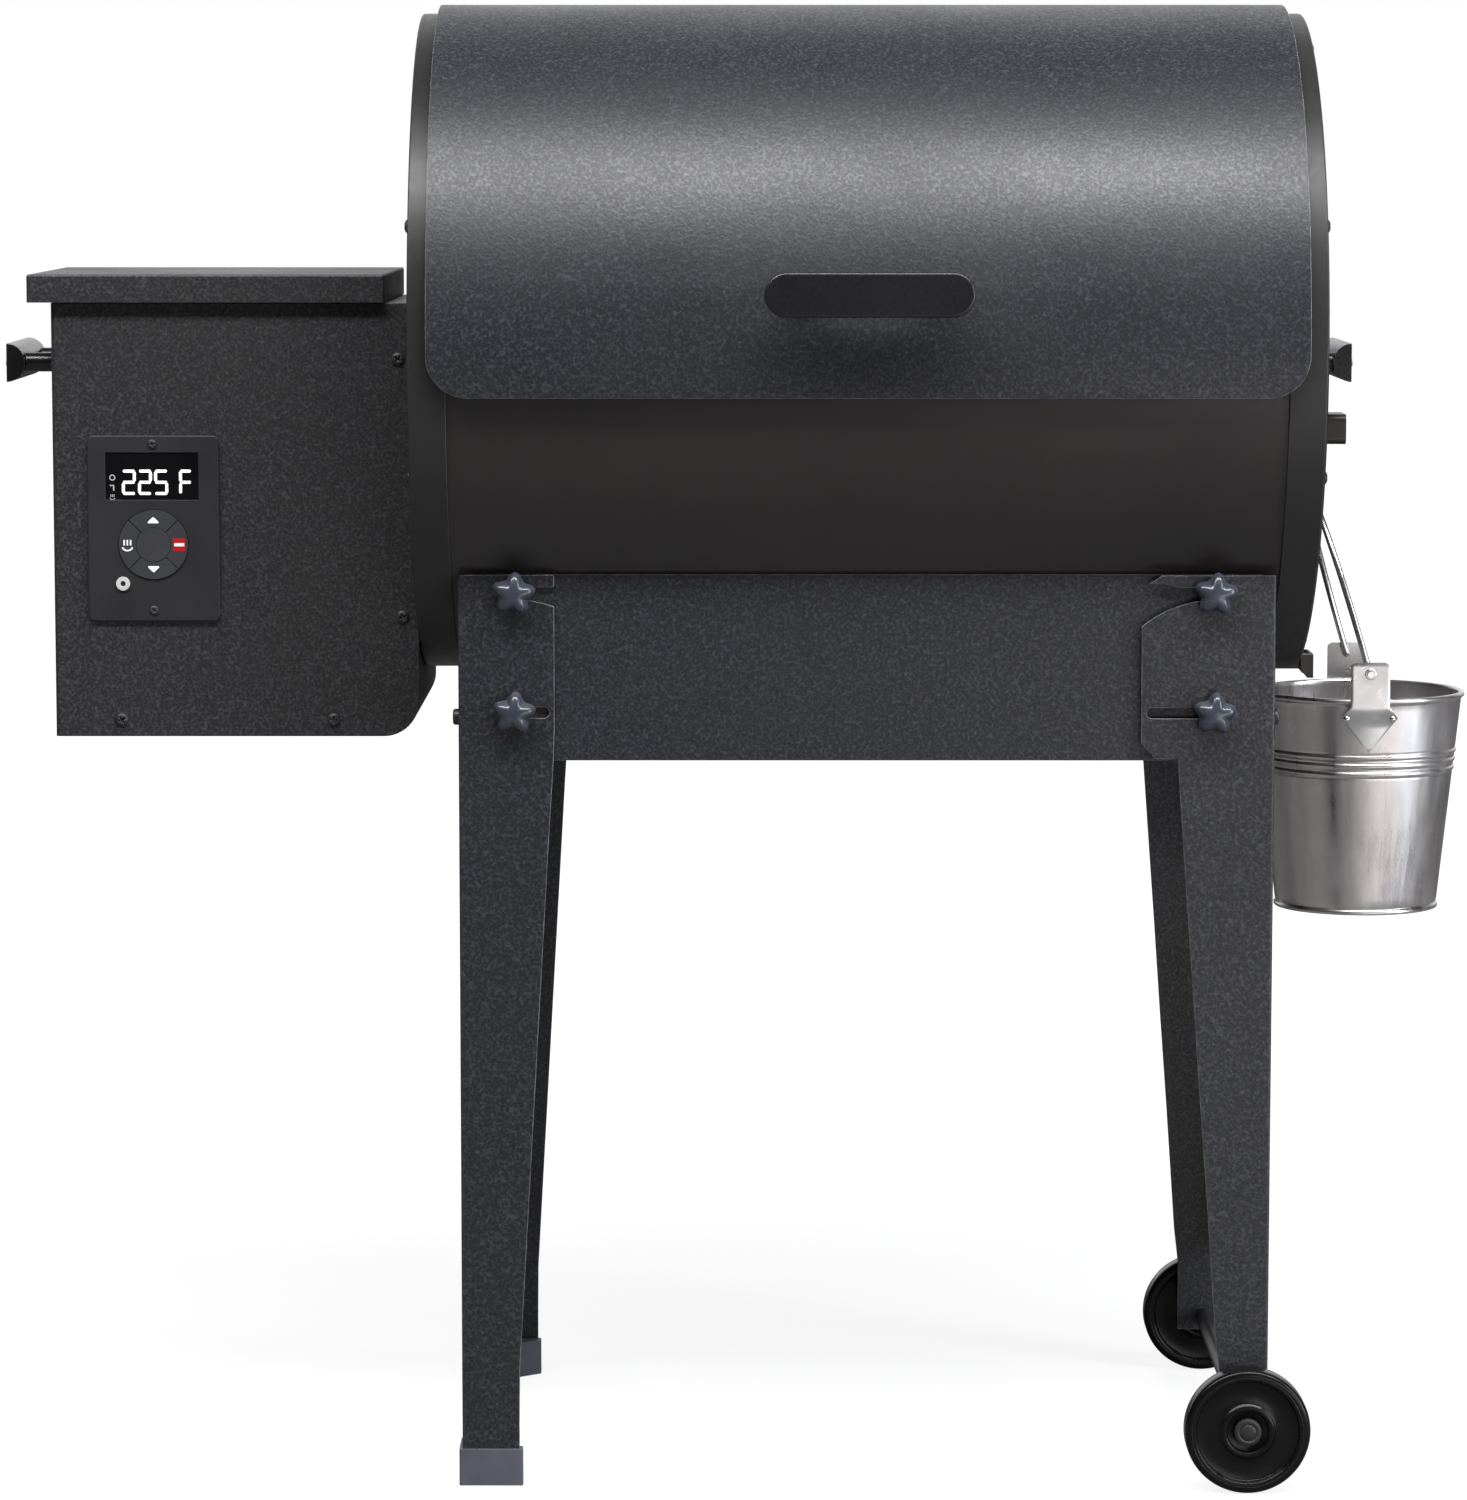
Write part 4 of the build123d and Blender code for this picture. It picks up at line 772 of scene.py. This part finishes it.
def on_bail(y, reach):
    """Point in the leaning plane of the bail, at a reach from the ear holes."""
    t = reach / BAIL_LENGTH
    return (BUCKET_X + (BAIL_TOP_X - BUCKET_X) * t, y, HOLE_Z + (BAIL_TOP_Z - HOLE_Z) * t)


def bail():
    """One bent wire: straight ends through the ears, arms, and an arch over the bucket."""
    top = BAIL_LENGTH
    half = [Vector((BUCKET_X, y, HOLE_Z)) for y in (-72.0, -70.0, -67.2)]
    half += bezier(on_bail(-66.6, 0), on_bail(-65.4, 0), on_bail(-65.2, 0.2),
                   on_bail(-65.2, 1.8), 6)
    half += bezier(on_bail(-65.2, 3), on_bail(-65.2, 50), on_bail(-55, 84),
                   on_bail(-22, top - 8), 36)
    half += bezier(on_bail(-22, top - 8), on_bail(-12, top - 2.0), on_bail(-6, top),
                   on_bail(0, top), 12)[1:]
    points = half + [Vector((p.x, -p.y, p.z)) for p in reversed(half[:-1])]
    make("bail_wire", wire(points, 2.0, 20), CHROME, "bail", angle=60,
         replaces="bucket_bail")


bail()


# ------------------------------------------------------------------ screws
def dome_screw(seat, outward, turn, radius=4.2, height=2.2):
    """Domed head with a pressed cross, turned by an angle in radians."""
    count, steps = 48, 24
    seat, outward = Vector(seat), Vector(outward)
    up = Vector((0, 0, 1))      # every screw here faces sideways
    across = outward.cross(up)
    arm, reach = 0.16 * radius, 0.55 * radius       # half width and length of the cross

    def rise(x, y):
        q = math.hypot(x, y) / radius
        h = height * math.sqrt(max(0.0, 1 - (q * 0.98) ** 2)) if q < 1 else 0.0
        c, s = math.cos(turn), math.sin(turn)
        along, side = abs(x * c + y * s), abs(-x * s + y * c)
        if (along < arm and side < reach) or (side < arm and along < reach):
            h -= 0.8 * height * (1 - 0.5 * math.hypot(x, y) / reach)
        return max(h, 0.0)

    verts, faces = [], []
    for i in range(steps + 1):
        r = radius * (i / steps)
        for j in range(count if i else 1):
            a = 2 * math.pi * j / count
            x, y = r * math.cos(a), r * math.sin(a)
            verts.append((seat + up * x + across * y + outward * rise(x, y)) * MM)
    # short skirt into the sheet
    for j in range(count):
        a = 2 * math.pi * j / count
        rim = (up * math.cos(a) + across * math.sin(a)) * radius
        verts.append((seat + rim - outward * 0.6) * MM)

    def at(i, j):
        return 1 + (i - 1) * count + j

    skirt = steps + 1
    for j in range(count):
        k = (j + 1) % count
        faces.append((0, at(1, j), at(1, k)))
        for i in range(1, steps):
            faces.append((at(i, j), at(i + 1, j), at(i + 1, k), at(i, k)))
    for j in range(count):
        k = (j + 1) % count
        faces.append((at(steps, j), at(skirt, j), at(skirt, k), at(steps, k)))
    faces.append(tuple(at(skirt, j) for j in range(count - 1, -1, -1)))
    return verts, faces


BARREL_Z = 702.5
END_X = 275.52          # screw seats on the barrel ends
END_SCREW_CIRCLE = 197
FRONT_SCREWS = [(-460.8, 471.2), (-328.9, 471.2), (-287.5, 695.1), (-285.6, 535.3)]     # x, z
PANEL_X = -439.5


def case_screws():
    parts = []
    for i in range(8):
        a = math.radians(22.5 + 45 * i)
        y = END_SCREW_CIRCLE * math.cos(a)
        z = BARREL_Z + END_SCREW_CIRCLE * math.sin(a)
        parts.append(dome_screw((END_X, y, z), (1, 0, 0), turn=0.4 * i))
        # the left end has no screws near the middle plane
        if abs(y) >= 101:
            parts.append(dome_screw((-END_X, y, z), (-1, 0, 0), turn=0.7 * i))
    for i, (x, z) in enumerate(FRONT_SCREWS):
        parts.append(dome_screw((x, -95.02, z), (0, -1, 0), turn=0.5 + i))
    for i, z in enumerate((642.6, 539.6)):      # above and below the control panel keys
        parts.append(dome_screw((-439.6, -97.42, z), (0, -1, 0), turn=0.2 + i,
                                radius=3.0, height=1.4))
    make("dome_screws", join(parts), BAND, "main_body", angle=35,
         replaces="case_screws")


def carry_handle_screws():
    parts = [dome_screw((x, y, 691), (side, 0, 0), turn=0.6 + y * 0.01, radius=4.6, height=2.0)
             for side, x in ((-1, -535.0), (1, 306.0)) for y in (-40, 40)]
    make("carry_handle_screws", join(parts), CHROME, "main_body", angle=35)


case_screws()
carry_handle_screws()

# ------------------------------------------------------------------ control panel graphics
KEY_Y = -98.2           # front face of the ring keys
GLASS_Y = -96.8         # front face of the display
KEYS_Z = 580.4          # centre of the key ring
DIGIT_Z, DIGIT_HEIGHT, DIGIT_STROKE = 611.2, 15.6, 1.75
DIGIT_GAP = 0.28        # between neighbouring segments
# left edge, width, lit segments
DIGITS = [(-458.7, 8.6, "abged"), (-448.7, 8.6, "abged"), (-438.7, 8.6, "afgcd"),
          (-423.3, 8.0, "afge")]


def ink(face_y, proud):
    """Y range of a print standing proud of a front face."""
    return face_y - proud, face_y + 0.1


def digit(left, width, lit):
    """Seven-segment figure: a, g, d from top to bottom; f, e left; b, c right."""
    stroke, gap, half = DIGIT_STROKE, DIGIT_GAP, DIGIT_STROKE / 2
    right, top, middle = left + width, DIGIT_Z + DIGIT_HEIGHT, DIGIT_Z + DIGIT_HEIGHT / 2

    def flat(z):
        x0, x1 = left + gap, right - gap
        return [(x0 + half * 0.4, z), (x0 + half, z + half), (x1 - half, z + half),
                (x1 - half * 0.4, z), (x1 - half, z - half), (x0 + half, z - half)]

    def upright(x, low, high):
        z0, z1 = low + gap, high - gap
        return [(x, z0), (x + half, z0 + half), (x + half, z1 - half),
                (x, z1), (x - half, z1 - half), (x - half, z0 + half)]

    upper = (middle, top - stroke * 0.3)
    lower = (DIGIT_Z + stroke * 0.3, middle)
    segments = {"a": flat(top - half), "g": flat(middle), "d": flat(DIGIT_Z + half),
                "f": upright(left + half, *upper), "b": upright(right - half, *upper),
                "e": upright(left + half, *lower), "c": upright(right - half, *lower)}
    return [prism(segments[letter], ink(GLASS_Y, 0.12)) for letter in lit]


def flat_ring(x, z, outer, inner, depth, steps, start=0, end=360):
    """Ring, or an arc of it between two angles in degrees, lying in the XZ plane."""
    full = end - start == 360
    stations = steps if full else steps + 1
    verts, faces = [], []
    for i in range(stations):
        a = math.radians(start + (end - start) * i / steps)
        for r, y in ((outer, depth[0]), (inner, depth[0]), (inner, depth[1]), (outer, depth[1])):
            verts.append(Vector((x + r * math.cos(a), y, z + r * math.sin(a))) * MM)
    for i in range(steps):
        j = (i + 1) % stations
        for k in range(4):
            m = (k + 1) % 4
            faces.append((i * 4 + k, i * 4 + m, j * 4 + m, j * 4 + k))
    if not full:
        faces.append((3, 2, 1, 0))
        faces.append(tuple((stations - 1) * 4 + k for k in range(4)))
    return verts, faces


def warm_icon(x, z, scale, depth):
    """Three upright lines over a shallow dish."""
    parts = []
    for i in (-1, 0, 1):
        line = rectangle(x + (i * 2.0 - 0.45) * scale, z + 0.2 * scale,
                         x + (i * 2.0 + 0.45) * scale, z + 3.6 * scale)
        parts.append(prism(line, depth))
    parts.append(flat_ring(x, z + 0.4 * scale, 3.9 * scale, 3.0 * scale, depth, 16, 205, 335))
    return parts


def display():
    figures = [part for row in DIGITS for part in digit(*row)]
    make("display_digits", join(figures), DIGIT, "main_body", angle=30)
    # column of small icons left of the digits
    depth = ink(GLASS_Y, 0.1)
    icon_x = -464.6
    hook = [(-466.2, 617.4), (-463.4, 617.4), (-463.4, 613.9), (-464.2, 613.9), (-464.2, 616.6),
            (-466.2, 616.6)]
    icons = [flat_ring(icon_x, 621.9, 1.9, 1.2, depth, 24), prism(hook, depth)]
    icons += warm_icon(icon_x, 609.8, 0.5, depth)
    make("display_icons", join(icons), DIM, "main_body", angle=30)


def key_mark(name, shape, material, body):
    make(name, shape, material, body, angle=30)


def key_marks():
    x, z = PANEL_X, KEYS_Z
    white_ink = ink(KEY_Y, 0.12)
    up = [(x - 4.2, z + 13.3), (x + 4.2, z + 13.3), (x, z + 17.3)]
    down = [(x - 4.2, z - 13.3), (x, z - 17.3), (x + 4.2, z - 13.3)]
    square = rectangle(x + 12.3, z - 3.9, x + 19.7, z + 3.9)
    bar = rectangle(x + 12.9, z - 0.95, x + 19.1, z + 0.95)
    key_mark("key_up_mark", prism(rounded(up, 0.5), white_ink), WHITE, "key_up")
    key_mark("key_down_mark", prism(rounded(down, 0.5), white_ink), WHITE, "key_down")
    key_mark("key_left_mark", join(warm_icon(x - 16.1, z - 0.6, 1.0, white_ink)), WHITE,
             "key_left")
    key_mark("key_right_mark", prism(rounded(square, 0.7), ink(KEY_Y, 0.10)), RED, "key_right")
    key_mark("key_right_bar", prism(rounded(bar, 0.4), ink(KEY_Y, 0.2)), WHITE, "key_right")


def painted_recess_shade():
    """Near-black discs behind the gaps between the keys and in the jack bore: painted shade in the
    gaps and the bore.
    """
    well = disc((PANEL_X, -94.1, KEYS_Z), radius=21.55, depth=0.6, count=64)
    bore = disc((-458.6, -98.2, 556.2), radius=1.55, depth=0.5, count=32)
    make("key_well", well, GAP_SHADE, "main_body", angle=30)
    make("jack_bore", bore, GAP_SHADE, "main_body", angle=30)


display()
key_marks()
painted_recess_shade()


# ------------------------------------------------------------------ stage (metres)
def floor_material():
    """Pale floor that glows to the camera only: it stays white and still takes soft shadows."""
    m = Mat("studio_white")
    cloud = m.noise(3.0, detail=2)
    color = m.mix(m.remap(cloud, 0, 1), (0.20, 0.20, 0.20), (0.192, 0.192, 0.194))
    light_path = m.node("ShaderNodeLightPath")
    distance = m.node("ShaderNodeVectorMath", operation="LENGTH")
    m.feed(distance.inputs[0], m.coords)
    glow = m.remap(distance.outputs["Value"], 0.85, 1.0, span=(0.7, 1.6))
    return m.set(color=color, rough=0.8, spec=0.15, emit=(1, 1, 1),
                 emit_strength=m.multiply(glow, light_path.outputs["Is Camera Ray"]))


def studio_floor():
    half, z = 16.0, -0.0002
    mesh = bpy.data.meshes.new("floor")
    corners = [(-half, -half, z), (half, -half, z), (half, half, z), (-half, half, z)]
    mesh.from_pydata(corners, [], [(0, 1, 2, 3)])
    floor = bpy.data.objects.new("studio_floor", mesh)
    bpy.context.scene.collection.objects.link(floor)
    mesh.materials.append(floor_material())


def area_light(name, location, target, width, height, watts, color=(1, 1, 1)):
    data = bpy.data.lights.new(name, "AREA")
    data.shape = "RECTANGLE"
    data.size, data.size_y = width, height
    data.energy = watts
    data.color = color
    light = bpy.data.objects.new(name, data)
    bpy.context.scene.collection.objects.link(light)
    light.location = Vector(location) + FRAME_OFFSET
    aim = Vector(target) - Vector(location)
    light.rotation_euler = aim.to_track_quat("-Z", "Y").to_euler()
    light.visible_camera = False


def lights():
    # long soft key, in front and well above
    target_y, target_z = -0.18, 0.80
    distance, elevation = 2.2, math.radians(60.6)
    area_light("key_top", location=(0.0, target_y - distance * math.cos(elevation),
                                    target_z + distance * math.sin(elevation)),
               target=(0.0, target_y, target_z), width=5.0, height=0.46, watts=172)
    area_light("strip_right", location=(2.4, -1.3, 0.9), target=(0.1, 0.0, 0.6),
               width=0.6, height=1.8, watts=38, color=(0.84, 0.91, 1.0))
    area_light("low_card", location=(1.0, -1.5, 0.06), target=(0.33, 0.0, 0.45),
               width=1.3, height=0.8, watts=9, color=(1.0, 0.96, 0.94))


def world():
    """White to the camera; for all other rays a dark room, bright towards the rear."""
    studio = bpy.data.worlds.new("studio")
    bpy.context.scene.world = studio
    studio.use_nodes = True
    nodes, link = studio.node_tree.nodes, studio.node_tree.links.new
    nodes.clear()
    output = nodes.new("ShaderNodeOutputWorld")
    mix = nodes.new("ShaderNodeMixShader")
    light_path = nodes.new("ShaderNodeLightPath")
    room = nodes.new("ShaderNodeBackground")
    backdrop = nodes.new("ShaderNodeBackground")
    direction = nodes.new("ShaderNodeTexCoord")
    split = nodes.new("ShaderNodeSeparateXYZ")
    rear_glow = nodes.new("ShaderNodeMapRange")
    rear_glow.interpolation_type = "SMOOTHSTEP"
    for key, value in (("From Min", 0.45), ("From Max", 0.95), ("To Min", 0.05), ("To Max", 1.15)):
        rear_glow.inputs[key].default_value = value
    room.inputs["Color"].default_value = (0.98, 0.98, 1.0, 1)
    backdrop.inputs["Color"].default_value = (1, 1, 1, 1)
    backdrop.inputs["Strength"].default_value = 1.0
    link(direction.outputs["Generated"], split.inputs[0])
    link(split.outputs["Y"], rear_glow.inputs["Value"])
    link(rear_glow.outputs["Result"], room.inputs["Strength"])
    link(light_path.outputs["Is Camera Ray"], mix.inputs[0])
    link(room.outputs[0], mix.inputs[1])
    link(backdrop.outputs[0], mix.inputs[2])
    link(mix.outputs[0], output.inputs[0])


def camera():
    """Long lens from the front, tipped slightly down."""
    scene = bpy.context.scene
    data = bpy.data.cameras.new("photo_view")
    view = bpy.data.objects.new("photo_view", data)
    scene.collection.objects.link(view)
    data.sensor_fit = "AUTO"
    data.sensor_width = 36.0
    data.lens = 129.75
    data.clip_end = 60
    view.location = Vector((-0.07647, -3.43797, 0.82906)) + FRAME_OFFSET
    view.rotation_euler = (math.radians(90 - 6.432), 0.0, math.radians(0.067))
    scene.camera = view
    scene.view_settings.view_transform = "Standard"
    scene.view_settings.look = "None"
    scene.view_settings.exposure = 0.0


studio_floor()
lights()
world()
camera()
